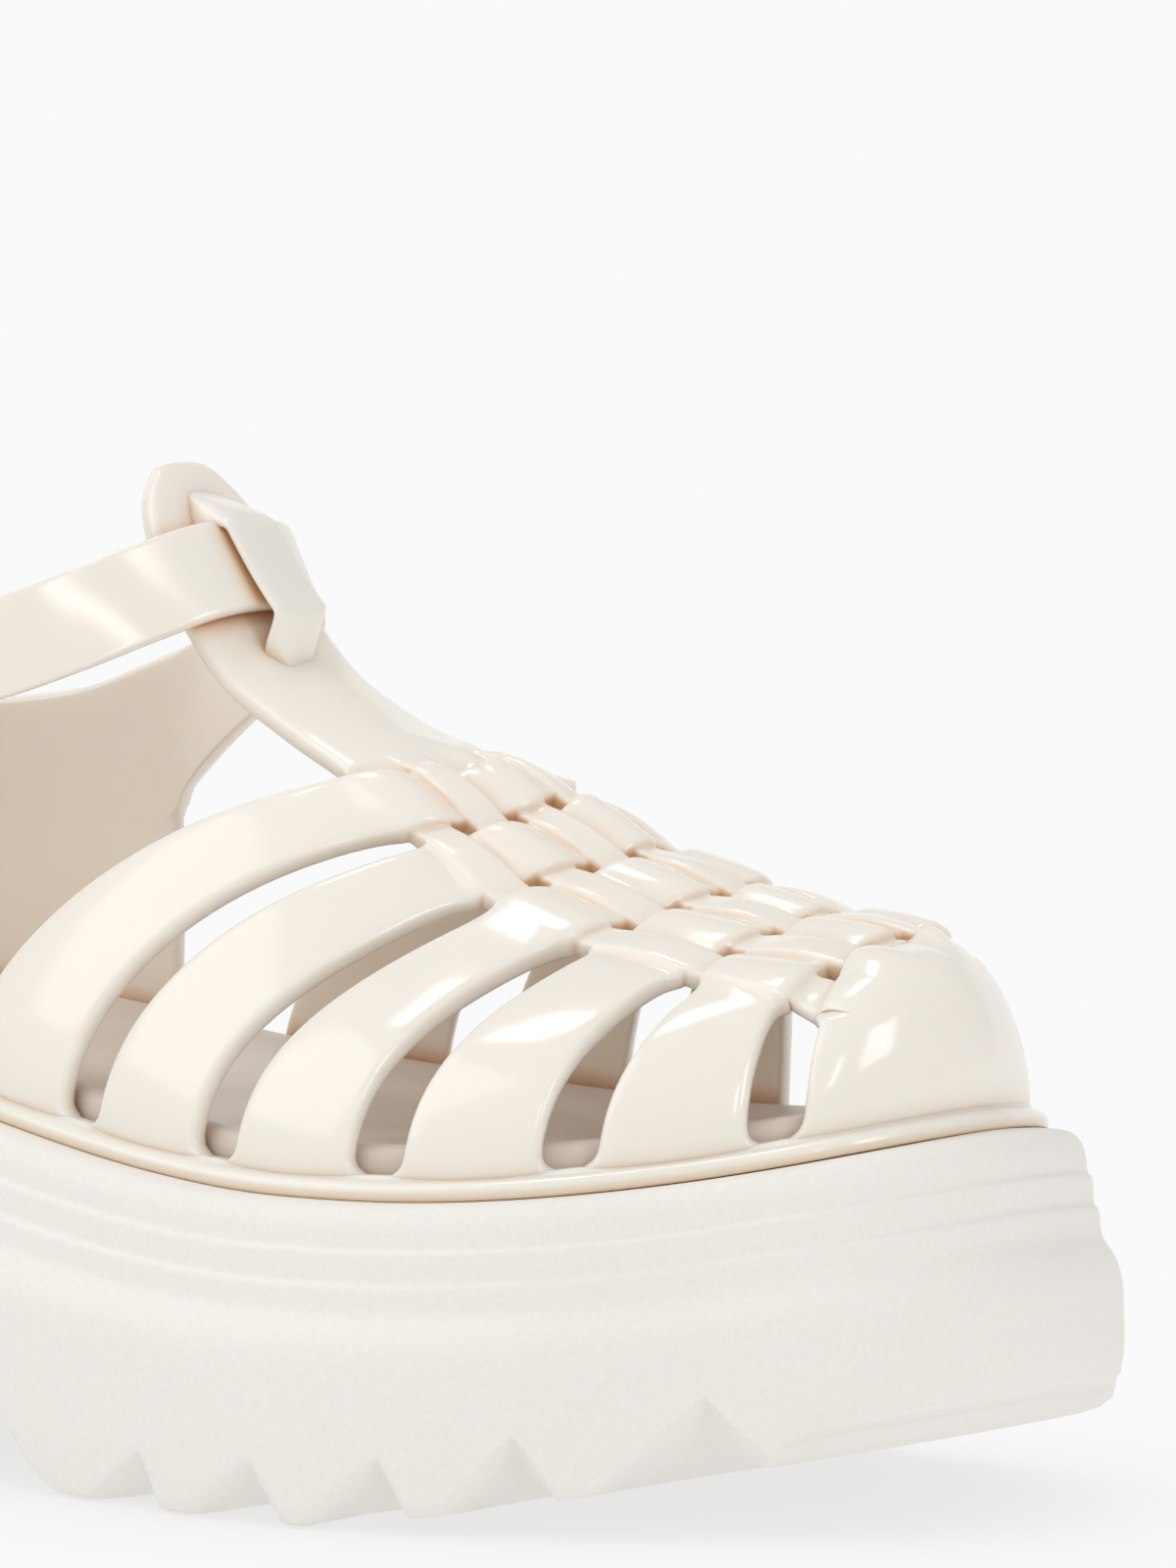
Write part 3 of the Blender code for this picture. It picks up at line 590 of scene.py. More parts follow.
class Rib:
    """One line over the foot, from the outer edge over the crest to the inner edge."""

    def __init__(self, outer, crest_x, inner, slant, spread=0.0):
        self.stations = (outer, inner)
        self.spread = spread * (SLOT_WIDTH - CREST_GAP) / 2
        y, z = table_value(CREST, crest_x)
        self.crest = np.array((crest_x, y, z - WALL / 2 - CREST_DROP))
        self.slant = slant
        across = table_value(ACROSS, crest_x)
        self.halves = across[:2]
        self.tilt, self.shoulder, self.crown = across[2:]

    def base(self, station):
        x, y = OUTLINE.at(station, -WALL_INSET - WALL / 2)
        return np.array((x, y, rim_z(OUTLINE.edge(station)[0]) + SILL))

    def point(self, side, angle, station=None, straight=0.0):
        """Point at an angle from the crest, 0, down to the base, a right angle."""
        base = self.base(self.stations[side] if station is None else station)
        roundness = RIB_ROUND + (CAP_ROUND - RIB_ROUND) * straight
        out = math.sin(angle) ** (2 / roundness)
        up = math.cos(angle) ** (2 / roundness) if angle < math.pi / 2 else 0.0
        slant = self.slant * (1 - straight)
        y = self.crest[1] + (base[1] - self.crest[1]) * out
        spare = base[0] - self.crest[0] - slant * (base[1] - self.crest[1])
        slow, fast = SPREAD_POWERS
        x = self.crest[0] + slant * (y - self.crest[1])
        x += spare * out ** (fast - CAP_FULLNESS * straight)
        weave_edge = self.halves[side] / abs(base[1] - self.crest[1])
        begun = smooth(SPREAD_ONSET * (out - weave_edge))
        x += self.spread * begun * (out**slow - out**fast) * (1 - straight)
        z = base[2] + (self.crest[2] - base[2]) * up
        outward = base[1] < self.crest[1]
        rise = self.tilt * TILT_PEAK * (-1 if outward else 1) * out * (1 - out * out)
        if outward:
            rise += self.shoulder * SHOULDER_PEAK * out * out * (1 - out)
        else:
            rise += self.crown * CROWN_PEAK * out * (1 - out) ** 3
        return np.array((x, y, z + rise * (1 - straight)))

    def reach(self, side):
        """How far the base lies from the crest across the foot."""
        return abs(self.base(self.stations[side])[1] - self.crest[1])

    def angle_at(self, side, reach):
        """Angle whose point lies this far from the crest across the foot."""
        share = min(1.0, reach / self.reach(side))
        return math.asin(share ** (RIB_ROUND / 2))

    def angle_up(self, side, height):
        """Angle whose point lies this far over the sill."""
        base = self.base(self.stations[side])
        share = height / (self.crest[2] - base[2])
        return math.acos(share ** (RIB_ROUND / 2))


# Columns of the cage on one side, from the foot up to the weave
RISES = (0.0, 0.4, 0.9, 1.6, 2.7, 4.4)
FLANK_SHARES = tuple(k / 10 for k in range(1, 10))
REACHES = (0.22, 0.12, 0.05, 0.02)
# Width left to a slot at each rise and at each reach, which rounds its two ends
RISE_NARROWS = (0.42, 0.68, 0.84, 0.95, 1.0, 1.0)
REACH_NARROWS = (1.0, 0.98, 0.86, 0.70)
WEAVE_START = 1 + len(RISES) + len(FLANK_SHARES) + len(REACHES)
# Places of the same columns as shares of the half weave; the low ones lie clear of it
FLANK_PLACES = (9.0,) * (1 + len(RISES) + len(FLANK_SHARES)) + (1.5, 1.25, 1.1, 1.04)
STRIP_COLUMNS = (-1.0, -0.84, -0.5, 0.0, 0.5, 0.84, 1.0)
GAP_COLUMNS = (0.08, 0.5, 0.92)
# Strips and the gaps between them as shares of the weave's half width
STRIP_PITCH = 2 / (STRIPS - STRIP_GAP)
STRIP_HALF = STRIP_PITCH * (1 - STRIP_GAP) / 2


def strip_middle(strip):
    """Middle of a lengthwise strip as a share of the weave's half width."""
    return (strip - STRIPS // 2) * STRIP_PITCH


def weave_columns():
    """Places across the weave as shares of its half width, and the strip at each."""
    places, strips = [], []
    for number in range(STRIPS):
        middle = strip_middle(number)
        places += [middle + STRIP_HALF * share for share in STRIP_COLUMNS]
        strips += [number] * len(STRIP_COLUMNS)
        if number < STRIPS - 1:
            start = middle + STRIP_HALF
            places += [start + STRIP_PITCH * STRIP_GAP * share for share in GAP_COLUMNS]
            strips += [-1] * len(GAP_COLUMNS)
    return np.array(places), np.array(strips)


WEAVE_PLACES, WEAVE_STRIPS = weave_columns()
WEAVE_COUNT = len(WEAVE_PLACES)
CAGE_COLUMNS = 2 * WEAVE_START + WEAVE_COUNT


def side_angles(rib, side):
    """Angles of one side's columns, from the sill up to just below the weave."""
    half = rib.halves[side]
    spare = rib.reach(side) - half
    low = rib.angle_up(side, RISES[-1])
    high = rib.angle_at(side, half + spare * REACHES[0])
    angles = [rib.angle_up(side, rise) for rise in RISES]
    angles += [low + (high - low) * share for share in FLANK_SHARES]
    angles += [rib.angle_at(side, half + spare * share) for share in REACHES]
    return angles


def weave_angles(rib):
    """Side and angle of each column of the weave."""
    angles = []
    for place in WEAVE_PLACES:
        side = 0 if place < 0 else 1
        angles.append((side, rib.angle_at(side, abs(place) * rib.halves[side])))
    return angles


def rib_row(rib):
    """Mid-wall points of one rib, outer foot to inner foot."""
    flanks = []
    for side in (0, 1):
        flank = [rib.point(side, angle) for angle in side_angles(rib, side)]
        foot = flank[0] + np.array((0, 0, FOOT_HEIGHT - SILL))
        flanks.append([foot] + flank)
    weave = [rib.point(side, angle) for side, angle in weave_angles(rib)]
    return np.array(flanks[0] + weave + flanks[1][::-1])


def t_bar_row(crest_x, half, slant):
    """Mid-wall points across the T-bar; the flanks repeat its edges."""
    y, z = table_value(CREST, crest_x)
    weave = []
    for place in WEAVE_PLACES * half:
        drop = place * place / (2 * T_BAR_CROWN)
        weave.append(np.array((crest_x + slant * place, y + place, z - WALL / 2 - drop)))
    return np.array([weave[0]] * WEAVE_START + weave + [weave[-1]] * WEAVE_START)


def signed_angles(rib):
    """Angles of all columns between the two sills, outer side negative."""
    angles = [-angle for angle in side_angles(rib, 0)]
    angles += [angle if side else -angle for side, angle in weave_angles(rib)]
    return angles + side_angles(rib, 1)[::-1]


def cap_row(rib, share):
    """Mid-wall points of the toe cap, from its rear edge, 0, to its front sill, 1."""
    outer, inner = rib.stations
    row = []
    for signed in signed_angles(rib):
        across = signed / (math.pi / 2)
        a = across * math.sqrt(1 - share * share / 2)
        b = share * math.sqrt(1 - across * across / 2)
        angle = min(1.0, math.hypot(a, b)) * math.pi / 2
        turn = math.atan2(b, -a) / math.pi if (a or b) else 0.5
        station = outer + (inner - outer) * turn
        row.append(rib.point(0, angle, station, math.sin(math.pi * turn)))
    feet = [row[k] + np.array((0, 0, FOOT_HEIGHT - SILL)) for k in (0, -1)]
    return np.array([feet[0]] + row + [feet[1]])


STRAP_SHARES = (0.0, 0.04, 0.12, 0.26, 0.42, 0.58, 0.74, 0.88, 0.96, 1.0)
GAP_SHARES = (0.08, 0.5, 0.92)
CAP_SHARES = (0.03, 0.08, 0.16, 0.25, 0.34, 0.43, 0.52, 0.61, 0.69, 0.77, 0.84, 0.90,
              0.95, 0.98, 1.0)
T_BAR_STEPS = 26
T_BAR_LAST = 0.993


def cage_rows():
    """Lines of the cage from the T-bar's end to the toe: points, kind, strap, share."""
    rows, notes = [], []
    t_bar = [t_bar_row(x, half, REAR_EDGE[3] * k / len(T_BAR))
             for k, (x, half) in enumerate(T_BAR)]
    rear_rib = rib_row(Rib(*REAR_EDGE))
    rear_rib[:WEAVE_START] = rear_rib[WEAVE_START]
    rear_rib[-WEAVE_START:] = rear_rib[-WEAVE_START - 1]
    coarse = np.array(t_bar + [rear_rib])
    stops = np.concatenate(([0.0], np.cumsum(np.linalg.norm(
        np.diff(coarse[:, CAGE_COLUMNS // 2], axis=0), axis=1))))
    table = np.column_stack([stops, coarse.reshape(len(coarse), -1)])
    run = np.concatenate((np.linspace(0.0, 1.0, T_BAR_STEPS + 1)[:-1], [T_BAR_LAST]))
    for share in run:
        rows.append(table_value(table, share * stops[-1]).reshape(CAGE_COLUMNS, 3))
        notes.append(("t_bar", -1, share))
    rear = REAR_EDGE
    for number, gap in enumerate(STRAP_GAPS):
        outer, crest_x, inner, slant = gap
        front = (outer + SLOT_WIDTH / 2, crest_x - CREST_GAP / 2, inner - SLOT_WIDTH / 2, slant)
        for share in STRAP_SHARES:
            spread = (1 - share if number else 0.0) - share
            rib = Rib(*(a + (b - a) * share for a, b in zip(rear, front)), spread)
            rows.append(rib_row(rib))
            notes.append(("strap", number, share))
        rear = (outer - SLOT_WIDTH / 2, crest_x + CREST_GAP / 2, inner + SLOT_WIDTH / 2, slant)
        near, far = rows[-1], rib_row(Rib(*rear, 1.0))
        for share in GAP_SHARES:
            rows.append(near + (far - near) * share)
            notes.append(("gap", number, share))
    rows.append(rib_row(Rib(*rear, 1.0)))
    notes.append(("cap", STRAPS, 0.0))
    for share in CAP_SHARES:
        rows.append(cap_row(Rib(*rear, max(0.0, 1 - share / CAP_LIP)), share))
        notes.append(("cap", STRAPS, share))
    last = rows[-1][1:-1] + np.array((0, 0, FOOT_HEIGHT - SILL))
    rows.append(np.vstack([last[:1], last, last[-1:]]))
    notes.append(("cap", STRAPS, 1.1))
    return np.array(rows), notes


# Rows of a strap over which the rounding of a slot's end eases out
EASE_ROWS = 5


def round_slots(rows, notes):
    """Slot ends rounded by drawing the straps' edges together there."""
    narrow = np.ones(CAGE_COLUMNS)
    side = (RISE_NARROWS[0],) + RISE_NARROWS + (1.0,) * len(FLANK_SHARES) + REACH_NARROWS
    narrow[:WEAVE_START] = side
    narrow[-WEAVE_START:] = side[::-1]
    fresh = rows.copy()
    for number in range(STRAPS):
        gap = [k for k, note in enumerate(notes) if note[:2] == ("gap", number)]
        near, far = gap[0] - 1, gap[-1] + 1
        middle = (rows[near] + rows[far]) / 2
        pull = {}
        for edge in (near, far):
            pull[edge] = (middle - rows[edge]) * (1 - narrow)[:, None]
        for k in gap:
            share = notes[k][2]
            fresh[k] += pull[near] * (1 - share) + pull[far] * share
        for edge, step in ((near, -1), (far, 1)):
            run = np.linalg.norm(rows[edge + EASE_ROWS * step] - rows[edge], axis=1)
            for m in range(EASE_ROWS + 1):
                k = edge + m * step
                if k >= len(rows):
                    break
                way = np.linalg.norm(rows[k] - rows[edge], axis=1) / np.maximum(run, 0.1)
                fresh[k] += pull[edge] * ((1 - np.minimum(way, 1.0)) ** 2)[:, None]
    return fresh


def swing(way):
    """Cosine swing between two crossings, from 0 to 1."""
    return 0.5 - 0.5 * np.cos(np.pi * np.clip(way, 0.0, 1.0))


def roll(distance, radius=EDGE_ROLL):
    """Drop of a rounded edge at a distance from it."""
    inside = np.clip(1 - distance / radius, 0.0, 1.0)
    return radius * ROLL_DEPTH * (1 - np.sqrt(1 - inside * inside))


def eased(knots, values, place):
    """Value at a place that swings from knot to knot and stays level past the ends."""
    k = int(np.clip(np.searchsorted(knots, place) - 1, 0, len(knots) - 2))
    share = swing((place - knots[k]) / (knots[k + 1] - knots[k]))
    return values[k] + (values[k + 1] - values[k]) * share


def strip_over(number, strip):
    """Whether a lengthwise strip passes over a strap."""
    return (number + strip) % 2 == 1


def strip_height(strip, stops, place):
    """Height of a strip at a place along the cage; the stops are its crossings."""
    signs = [1.0 if strip_over(number, strip) else -1.0 for number in range(STRAPS)]
    return SWING * eased(stops, [STRIP_REST] + signs + [STRIP_REST], place)


def strap_height(number, place):
    """Height of a strap at a place across the weave; the cap counts as one more strap."""
    signs = [-1.0 if strip_over(number, strip) else 1.0 for strip in range(STRIPS)]
    values = [0.0] + signs + [0.0, 0.0]
    if number == 0:
        values[-3:-1] = FAR_BUMP
    return SWING * eased([strip_middle(k) for k in range(-1, STRIPS + 2)], values, place)


def strap_row(notes, number, end):
    """Row of a strap's rear edge, 0, or front edge, 1."""
    mine = [k for k, note in enumerate(notes) if note[:2] == ("strap", number)]
    return mine[-end]


def cage_lift(rows, notes):
    """Height of the outer skin where strips and straps pass over and under each other."""
    lift = np.zeros((len(rows), CAGE_COLUMNS))
    centre = CAGE_COLUMNS // 2
    steps = np.linalg.norm(np.diff(rows[:, centre], axis=0), axis=1)
    along = np.concatenate(([0.0], np.cumsum(steps)))
    edges = [(strap_row(notes, number, 0), strap_row(notes, number, 1))
             for number in range(STRAPS)]
    weave_begins = along[edges[0][0]]
    stops = [weave_begins - STRIP_LEAD]
    stops += [(along[rear] + along[front]) / 2 for rear, front in edges]
    stops.append(along[edges[-1][1]] + STRIP_TAIL)
    across = np.concatenate((-np.array(FLANK_PLACES), WEAVE_PLACES, FLANK_PLACES[::-1]))
    beside = np.full(WEAVE_START, -1)
    strips = np.concatenate((beside, WEAVE_STRIPS, beside))
    for i, (kind, number, share) in enumerate(notes):
        half = np.linalg.norm(rows[i, centre] - rows[i, WEAVE_START])
        for j, (place, strip) in enumerate(zip(across, strips)):
            strip_top = BURIED
            if strip >= 0:
                side = STRIP_HALF - abs(place - strip_middle(strip))
                strip_top = strip_height(strip, stops, along[i]) - roll(side * half)
            if kind == "t_bar":
                fade = swing(1 - (weave_begins - along[i]) / STRIP_LEAD)
                edge = roll((1 - abs(place)) * half, T_BAR_ROLL) * (1 - fade)
                lift[i, j] = -T_BAR_SINK * SWING * fade - edge
                if strip >= 0 and strip_over(0, strip):
                    lift[i, j] = max(strip_top * fade - edge, lift[i, j])
            elif kind == "strap":
                nearest = min(np.linalg.norm(rows[i, j] - rows[k, j]) for k in edges[number])
                crown = STRAP_CROWN * (1 - (2 * share - 1) ** 2)
                strap_top = strap_height(number, place) - roll(nearest) + crown
                lift[i, j] = max(strap_top, strip_top)
            elif kind == "gap":
                lift[i, j] = strip_top if strip >= 0 else 0.0
            else:
                over = max(strap_height(STRAPS, place), STRIP_REST)
                lift[i, j] = over * swing(1 - share / CAP_LIP) - roll(share * CAP_DEPTH)
    return lift


def make_cage():
    """Woven cage, T-bar and toe cap in one moulded skin."""
    rows, notes = cage_rows()
    lift = cage_lift(rows, notes)
    rows = round_slots(rows, notes)
    weave_end = WEAVE_START + WEAVE_COUNT - 1
    last_row = len(notes) - 1

    def keep(i, j):
        kind = notes[i][0]
        if kind == "t_bar":
            return WEAVE_START <= j < weave_end
        follows_gap = kind == "gap" or (kind == "strap" and notes[i + 1][0] == "gap")
        if follows_gap:
            if j in (0, CAGE_COLUMNS - 2):
                return True
            if not WEAVE_START <= j < weave_end:
                return False
            pair = (WEAVE_STRIPS[j - WEAVE_START], WEAVE_STRIPS[j - WEAVE_START + 1])
            return pair[0] == pair[1] and pair[0] >= 0
        if i == last_row - 1:
            return 1 <= j < CAGE_COLUMNS - 2
        return True

    return shell("woven_cage", rows, JELLY, wall=WALL, lift=lift, keep=keep,
                 middle=(190.0, 0.0, 40.0))


def closed_band(profile, count):
    """Grid of a closed moulding round the last's edge: outset and height of its section."""
    profile = profile + profile[:1]
    grid = np.zeros((count + 1, len(profile), 3))
    for k, station in enumerate(np.linspace(0.0, OUTLINE.length, count + 1)):
        base = rim_z(OUTLINE.edge(station)[0])
        for m, (outset, height) in enumerate(profile):
            x, y = OUTLINE.at(station, outset)
            grid[k, m] = (x, y, base + height)
    return grid


def make_rim_bead():
    """Rim band with the bead that seals the jelly to the platform."""
    outer = -WALL_INSET
    inner = outer - WALL
    profile = [
        (-0.9, 0.0),
        (0.0, 0.0),
        (0.12, 0.05),
        (0.14, 0.5),
        (0.12, 1.1),
        (-0.1, 1.7),
        (-0.55, 2.15),
        (-1.3, 2.4),
        (outer + 0.05, 2.6),
        (outer, 2.95),
        (outer - 0.4, 3.05),
        (inner + 0.4, 3.05),
        (inner, 2.8),
        (inner, 1.2),
        (inner, 0.1),
        (inner + 0.4, 0.02),
        (-2.4, 0.02),
    ]
    return shell("rim_bead", closed_band(profile, 240), JELLY)


COUNTER_LEVELS = (0.0, 0.03, 0.09, 0.18, 0.28, 0.38, 0.48, 0.545, 0.57)
STRAP_LEVELS = (0.0, 0.03, 0.10, 0.24, 0.42, 0.58, 0.76, 0.90, 0.97, 1.0)
STRAP_FOOT = 0.585
COUNTER_COUNT = 96
STRAP_COUNT = 110


def counter_grid():
    """Lines of the heel counter from the inner front round the heel to the outer front."""
    inner = OUTLINE.station_at(COUNTER_INNER_X, -1)
    outer = OUTLINE.station_at(COUNTER_OUTER_X, 1) - OUTLINE.length
    levels = COUNTER_LEVELS + tuple(STRAP_FOOT + (1 - STRAP_FOOT) * s for s in STRAP_LEVELS)
    rows = []
    for share in np.linspace(0.0, 1.0, COUNTER_COUNT):
        station = inner + (outer - inner) * share
        height, lean = table_value(COUNTER_TOP, share)
        base_z = rim_z(OUTLINE.edge(station)[0])
        row = []
        for level in levels:
            inset = WALL_INSET + WALL / 2 + lean * level**2
            inset -= COUNTER_BELLY * math.sin(math.pi * level)
            x, y = OUTLINE.at(station, -inset)
            row.append(np.array((x, y, base_z + FOOT_HEIGHT + (height - FOOT_HEIGHT) * level)))
        rows.append(row)
    return rows


def strap_grid(root):
    """Lines across the ankle strap from its tail to its root on the counter."""
    ends = [(root[0], root[-1])] + list(zip(ROOT_LOWER, ROOT_UPPER))
    for x, y, z, tilt, width in ANKLE_STRAP:
        rise = np.array((-math.sin(math.radians(tilt)), 0.0, math.cos(math.radians(tilt))))
        middle = np.array((x, y, z))
        ends.append((middle - rise * width / 2, middle + rise * width / 2))
    ends = np.array([np.concatenate(pair) for pair in ends])
    middle = (ends[:, :3] + ends[:, 3:]) / 2
    run = np.concatenate(([0.0], np.cumsum(np.linalg.norm(np.diff(middle, axis=0), axis=1))))
    table = np.column_stack([run, ends])
    rows = []
    for place in np.linspace(run[-1], 0.0, STRAP_COUNT)[:-1]:
        value = table_value(table, place)
        rows.append([value[:3] + (value[3:] - value[:3]) * s for s in STRAP_LEVELS])
    return rows


def make_counter():
    """Heel counter, ankle strap and buckle tab in one moulded skin."""
    counter = counter_grid()
    lower = len(COUNTER_LEVELS)
    strap = [[line[0]] * lower + line for line in strap_grid(counter[0][lower:])]
    tab = []
    for share in (0.12, 0.3, 0.5, 0.7, 0.86, 1.0):
        line = []
        for k, level in enumerate(STRAP_LEVELS):
            start = counter[-1][lower + k]
            side = (2 * level - 1) * TAB_HALF_WIDTH
            end = np.array(REAR_BAR) + np.array((-2.0, 0.0, side))
            line.append(start + (end - start) * share)
        tab.append([line[0]] * lower + line)
    first, second = len(strap), len(strap) + len(counter)
    rows = np.array(strap + counter + tab)

    def keep(i, j):
        if i < first or i >= second - 1:
            return j >= lower
        return True

    return shell("counter_and_ankle_strap", rows, JELLY, wall=WALL, keep=keep,
                 middle=(90.0, 0.0, 80.0))


def make_keeper():
    """Bridge on the T-bar that the ankle strap passes under; its ends melt into the T-bar."""
    low, high = KEEPER_ENDS
    rings = []
    for share in np.linspace(0.0, 1.0, KEEPER_STEPS):
        x = low + (high - low) * share
        y, z = table_value(CREST, x)
        ahead = table_value(CREST, x + 1.0)
        normal = np.array((z - ahead[1], 0.0, 1.0))
        normal /= np.linalg.norm(normal)
        # Its top rises from both ends; the passage for the strap opens further in
        arch = smooth(min(1.0, 3.3 * share, 3.3 * (1 - share)))
        passage = smooth(11.0 * min(share - 0.19, 0.79 - share))
        top = -1.0 + 7.1 * arch
        bottom = -2.2 + 6.8 * passage
        half = 2.2 + 3.2 * arch
        ring = []
        for m in range(KEEPER_SIDES + 1):
            turn = 2 * math.pi * (m % KEEPER_SIDES) / KEEPER_SIDES
            c, s = math.cos(turn), math.sin(turn)
            # Powers under 1 square the section off
            side = half * math.copysign(abs(c) ** 0.45, c)
            up = bottom + (top - bottom) * (1 + math.copysign(abs(s) ** 0.6, s)) / 2
            ring.append(np.array((x, y + side, z)) + normal * up)
        rings.append(ring)
    return shell("keeper", np.array(rings), JELLY)


def tube_grid(path, radius, sides, closed):
    """Grid of a round bar along a path, with domed ends where it is open."""
    points = [Vector(p) for p in path]
    count = len(points)
    rings = []
    for k, point in enumerate(points):
        before = points[(k - 1) % count] if closed or k else points[0]
        after = points[(k + 1) % count] if closed or k < count - 1 else points[-1]
        run = (after - before).normalized()
        turn = run.to_track_quat("Z", "Y")
        shares = DOME[-1:]
        if not closed and k == 0:
            shares = [(share, -ahead) for share, ahead in DOME]
        if not closed and k == count - 1:
            shares = DOME[::-1]
        for share, ahead in shares:
            ring = []
            for m in range(sides + 1):
                angle = 2 * math.pi * (m % sides) / sides
                spoke = Vector((math.cos(angle), math.sin(angle), 0)) * radius * share
                ring.append(point + turn @ spoke + run * (radius * ahead))
            rings.append(ring)
    if closed:
        rings.append(rings[0])
    return np.array([[tuple(p) for p in ring] for ring in rings])


def make_buckle():
    """Wire frame and prong of the buckle."""
    rear, front = Vector(REAR_BAR), Vector(FRONT_BAR)
    run = (front - rear).normalized()
    length = (front - rear).length
    turns = ((length, 1, 0), (0.0, 1, 90), (0.0, -1, 180), (length, -1, 270))
    path = []
    for along, side, start in turns:
        centre = along + (BUCKLE_CORNER if along == 0.0 else -BUCKLE_CORNER)
        across = side * (BUCKLE_HALF_WIDTH - BUCKLE_CORNER)
        for step in range(7):
            angle = math.radians(start + 15 * step)
            a = centre + BUCKLE_CORNER * math.cos(angle)
            b = across + BUCKLE_CORNER * math.sin(angle)
            path.append(rear + run * a + Vector((0, 0, b)))
    wire = shell("buckle_wire", tube_grid(path, BAR_RADIUS, 14, True), NICKEL)
    rear.z = front.z = PRONG_Z
    run = (front - rear).normalized()
    out = Vector((run.y, -run.x, 0))
    reach = BAR_RADIUS + 0.3 + PRONG_RADIUS
    path = []
    for degrees in range(60, 241, 15):
        angle = math.radians(degrees)
        path.append(rear + run * reach * math.cos(angle) - out * reach * math.sin(angle))
    path += [rear + out * reach, front + out * (reach + 0.1), front + run * 2.0 + out * reach]
    pin = shell("buckle_pin", tube_grid(path, PRONG_RADIUS, 12, False), NICKEL)
    return wire, pin


def rounded(corners):
    """Section through its corners, each cut back on both sides by its rounding."""
    points = []
    for k, (a, b, radius) in enumerate(corners):
        here = np.array((a, b))
        if radius == 0.0 or k in (0, len(corners) - 1):
            points.append(here)
            continue
        legs = []
        for other in (corners[k - 1], corners[k + 1]):
            leg = np.array(other[:2]) - here
            length = np.linalg.norm(leg)
            legs.append(here + leg * min(radius, 0.45 * length) / length)
        points += [legs[0], (legs[0] + legs[1]) / 4 + here / 2, legs[1]]
    return points


def side_stations(step):
    """Matching stations of the outer and the inner side, from the tip to the heel."""
    crisp = (-0.45, 0.0, 0.45)
    sides = []
    for length in (OUTLINE.outer_length, OUTLINE.inner_length):
        knots = [0.0, 8.0, 16.0, 24.0]
        for start, apex, end, _ in reversed(FORE_SCOOPS):
            knots += [place + step_off for place in (end, apex, start) for step_off in crisp]
        knots += [126.0, 134.0, 142.0]
        for start, apex, end, _ in HEEL_SCOOPS:
            knots += [length - place + step_off
                      for place in (start, apex, end) for step_off in crisp]
        knots += [length - 9.0, length]
        sides.append(knots)
    stations = [[0.0], [0.0]]
    for k in range(1, len(sides[0])):
        pieces = max(1, round((sides[0][k] - sides[0][k - 1]) / step))
        for side in (0, 1):
            first, last = sides[side][k - 1], sides[side][k]
            stations[side] += [first + (last - first) * (m + 1) / pieces for m in range(pieces)]
    return stations


def scoop_depth(station, length):
    """Height of the scoop between two lugs, rising straight from its ends to its apex."""
    for scoops, place in ((FORE_SCOOPS, station), (HEEL_SCOOPS, length - station)):
        for start, apex, end, depth in scoops:
            if end < place < start:
                far = start if place > apex else end
                return depth * (far - place) / (far - apex)
    return 0.0


def ring_grid(sections, step):
    """Grid round the foot; its first and last sections close on the middle line."""
    outer, inner = side_stations(step)
    halves = []
    for stations, side, length in ((outer, 1, OUTLINE.outer_length),
                                   (inner, -1, OUTLINE.inner_length)):
        halves.append(np.array([[section(side * s, length) for section in sections]
                                for s in stations]))
    middle = (halves[0] + halves[1]) / 2
    for half in halves:
        for end, inward in ((0, 1), (-1, -2)):
            half[:, end] = middle[:, inward]
    ring = np.concatenate([halves[0], halves[1][::-1][1:]])
    return ring


def make_platform():
    """Foam platform: stepped rim, ribs, plain wall, lugs, arch and toe spring."""

    def side_point(outset, drop):
        def point(station, _):
            x, y = OUTLINE.at(station, outset)
            return x, y, rim_z(OUTLINE.edge(station)[0]) - drop
        return point

    def bottom_point(outset, lip_share, scoop_share):
        def point(station, length):
            toe = smooth((TOE_LIP_STATION - abs(station)) / 3.0)
            inset = 3.0 * toe * (1.0 if lip_share < 1.0 else 0.0)
            x, y = OUTLINE.at(station, outset - inset)
            lip = (0.6 + (TOE_LIP - 0.6) * toe) * lip_share
            scoop = scoop_depth(abs(station), length) * scoop_share
            return x, y, tread_z(x) + lip + scoop
        return point

    sections = [side_point(-1.0, 0.0), side_point(-1.0, 0.0)]
    sections += [side_point(outset, drop) for outset, drop in rounded(SIDE_STEPS)[1:]]
    sections += [bottom_point(*step) for step in EDGE_STEPS]
    return shell("foam_platform", ring_grid(sections, PLATFORM_STEP), FOAM)


def make_footbed():
    """Footbed with a rounded edge and a slight cup."""
    edge = -(WALL_INSET + WALL + 0.45)
    profile = (
        (edge - 0.6, 0.3),
        (edge - 0.6, 0.3),
        (edge - 0.1, 0.6),
        (edge, 1.4),
        (edge - 0.2, 4.6),
        (edge - 0.6, 5.8),
        (edge - 1.3, 6.5),
        (edge - 2.4, 6.6),
        (edge - 4.5, 6.2),
        (edge - 7.5, 5.7),
        (edge - 11.0, 5.4),
        (edge - 11.0, 5.4),
    )
    sections = []
    for outset, height in profile:
        def section(station, _, outset=outset, height=height):
            x, y = OUTLINE.at(station, outset)
            return x, y, rim_z(x) + height
        sections.append(section)
    return shell("footbed", ring_grid(sections, FOOTBED_STEP), FOOTBED)


# Stage


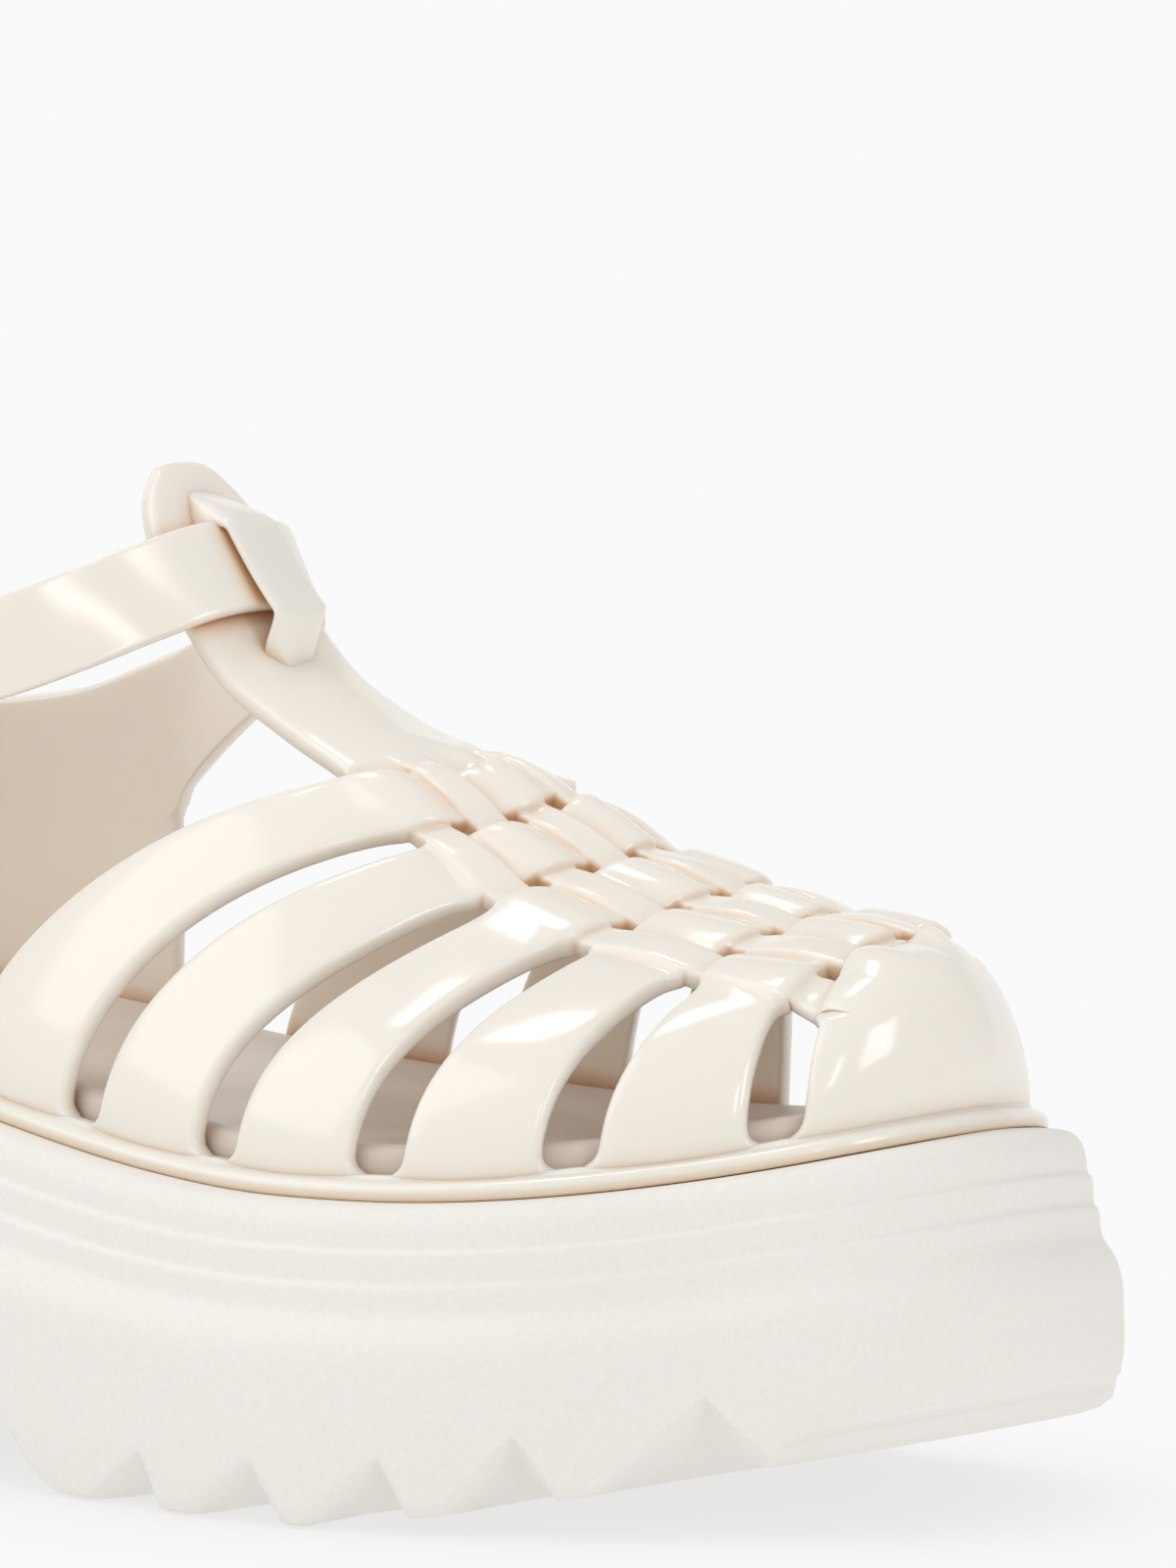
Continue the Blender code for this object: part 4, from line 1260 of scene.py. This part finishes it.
def camera_frame(azimuth, elevation, roll_angle):
    """Right, up and forward of a camera that looks this way."""
    a, e, turn = (math.radians(v) for v in (azimuth, elevation, roll_angle))
    forward = Vector((-math.sin(a) * math.cos(e), math.cos(a) * math.cos(e), -math.sin(e)))
    right = Vector((math.cos(a), math.sin(a), 0))
    up = right.cross(forward)
    return (right * math.cos(turn) - up * math.sin(turn),
            right * math.sin(turn) + up * math.cos(turn), forward)


def place_camera():
    """Camera low in front of the outer side, as the picture was taken."""
    right, up, forward = camera_frame(*CAMERA_ANGLES)
    target = (Vector(CAMERA_TARGET) - Vector((*CENTRE, 0.0))) * MM
    lens = bpy.data.cameras.new("camera")
    lens.sensor_fit = "AUTO"
    lens.sensor_width = 36.0
    lens.lens = CAMERA_LENS
    lens.clip_start = 0.01
    camera = bpy.data.objects.new("camera", lens)
    bpy.context.collection.objects.link(camera)
    turn = Matrix((right, up, -forward)).transposed().to_4x4()
    camera.matrix_world = Matrix.Translation(target - forward * CAMERA_DISTANCE) @ turn
    bpy.context.scene.camera = camera


def softbox(name, towards, distance, size, power):
    """Rectangular softbox in a direction from the shoe, facing it."""
    light = bpy.data.lights.new(name, "AREA")
    light.shape = "RECTANGLE"
    light.size, light.size_y = size
    light.energy = power
    lamp = bpy.data.objects.new(name, light)
    bpy.context.collection.objects.link(lamp)
    away = Vector(towards).normalized()
    place = Vector(LIGHT_TARGET) + away * distance
    turn = away.to_track_quat("Z", "Y").to_matrix().to_4x4()
    lamp.matrix_world = Matrix.Translation(place) @ turn


def make_stage():
    """Pale floor that sweeps up behind the shoe, and an even white surround."""
    right, _, forward = camera_frame(CAMERA_ANGLES[0], 0.0, 0.0)
    bm = bmesh.new()
    bmesh.ops.create_grid(bm, x_segments=2, y_segments=24, size=1.0)
    for vert in bm.verts:
        run = (vert.co.y + 1) / 2
        depth = min(run / FLAT_SHARE, 1.0) * SWEEP_RUN - SWEEP_FRONT
        rise = 0.0
        if run > FLAT_SHARE:
            bend = (run - FLAT_SHARE) / (1 - FLAT_SHARE) * math.pi / 2
            depth += SWEEP_BEND * math.sin(bend)
            rise = SWEEP_BEND * SWEEP_STEEPNESS * (1 - math.cos(bend))
        place = right * (vert.co.x * SWEEP_HALF_WIDTH) + forward * depth
        vert.co = place + Vector((0, 0, rise))
    mesh = bpy.data.meshes.new("floor_sweep")
    bm.to_mesh(mesh)
    bm.free()
    mesh.shade_smooth()
    # Backlit white sweep: even light all over, with only a breath of shadow at the contact
    mat, tree, shader = new_material("backlit_white_sweep", {
        "Base Color": hex_colour("#000000"),
        "Roughness": 1.0,
        "Specular IOR Level": 0.0,
        "Emission Strength": 1.0,
    })
    contact = add_node(tree, "ShaderNodeAmbientOcclusion", {"Distance": 0.05}, samples=16)
    shade = add_node(tree, "ShaderNodeMix", {
        "Factor": contact.outputs["AO"],
        "A": hex_colour("#E6E6E5"),
        "B": hex_colour("#FAFAFA"),
    }, data_type="RGBA")
    tree.links.new(shade.outputs[2], shader.inputs["Emission Color"])
    mesh.materials.append(mat)
    floor = bpy.data.objects.new("floor_sweep", mesh)
    bpy.context.collection.objects.link(floor)
    world = bpy.data.worlds.new("studio")
    world.use_nodes = True
    background = world.node_tree.nodes["Background"]
    background.inputs["Color"].default_value = hex_colour("#FFFFFF")
    background.inputs["Strength"].default_value = 0.55
    bpy.context.scene.world = world
    bpy.context.scene.view_settings.view_transform = "Standard"


def light_shoe():
    """Softboxes whose windows show in the gloss."""
    softbox("key_left", (-0.75, -0.9, 1.1), 1.8, (1.6, 1.6), 11.0)
    softbox("top", (-0.25, 0.05, 0.96), 1.6, (0.36, 0.26), 1.9)
    softbox("toe_window", (0.84, -0.25, 0.5), 1.8, (0.45, 0.8), 5.0)
    softbox("strap_streak", (0.67, -0.61, 0.43), 1.8, (0.10, 0.5), 1.1)


def main():
    make_stage()
    place_camera()
    light_shoe()
    cage = make_cage()
    bead = make_rim_bead()
    counter = make_counter()
    keeper = make_keeper()
    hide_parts("upper")
    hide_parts("upper")
    platform = make_platform()
    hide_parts("platform_sole")
    footbed = make_footbed()
    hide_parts("insole")
    wire, pin = make_buckle()
    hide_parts("buckle_frame")
    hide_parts("buckle_prong")


main()
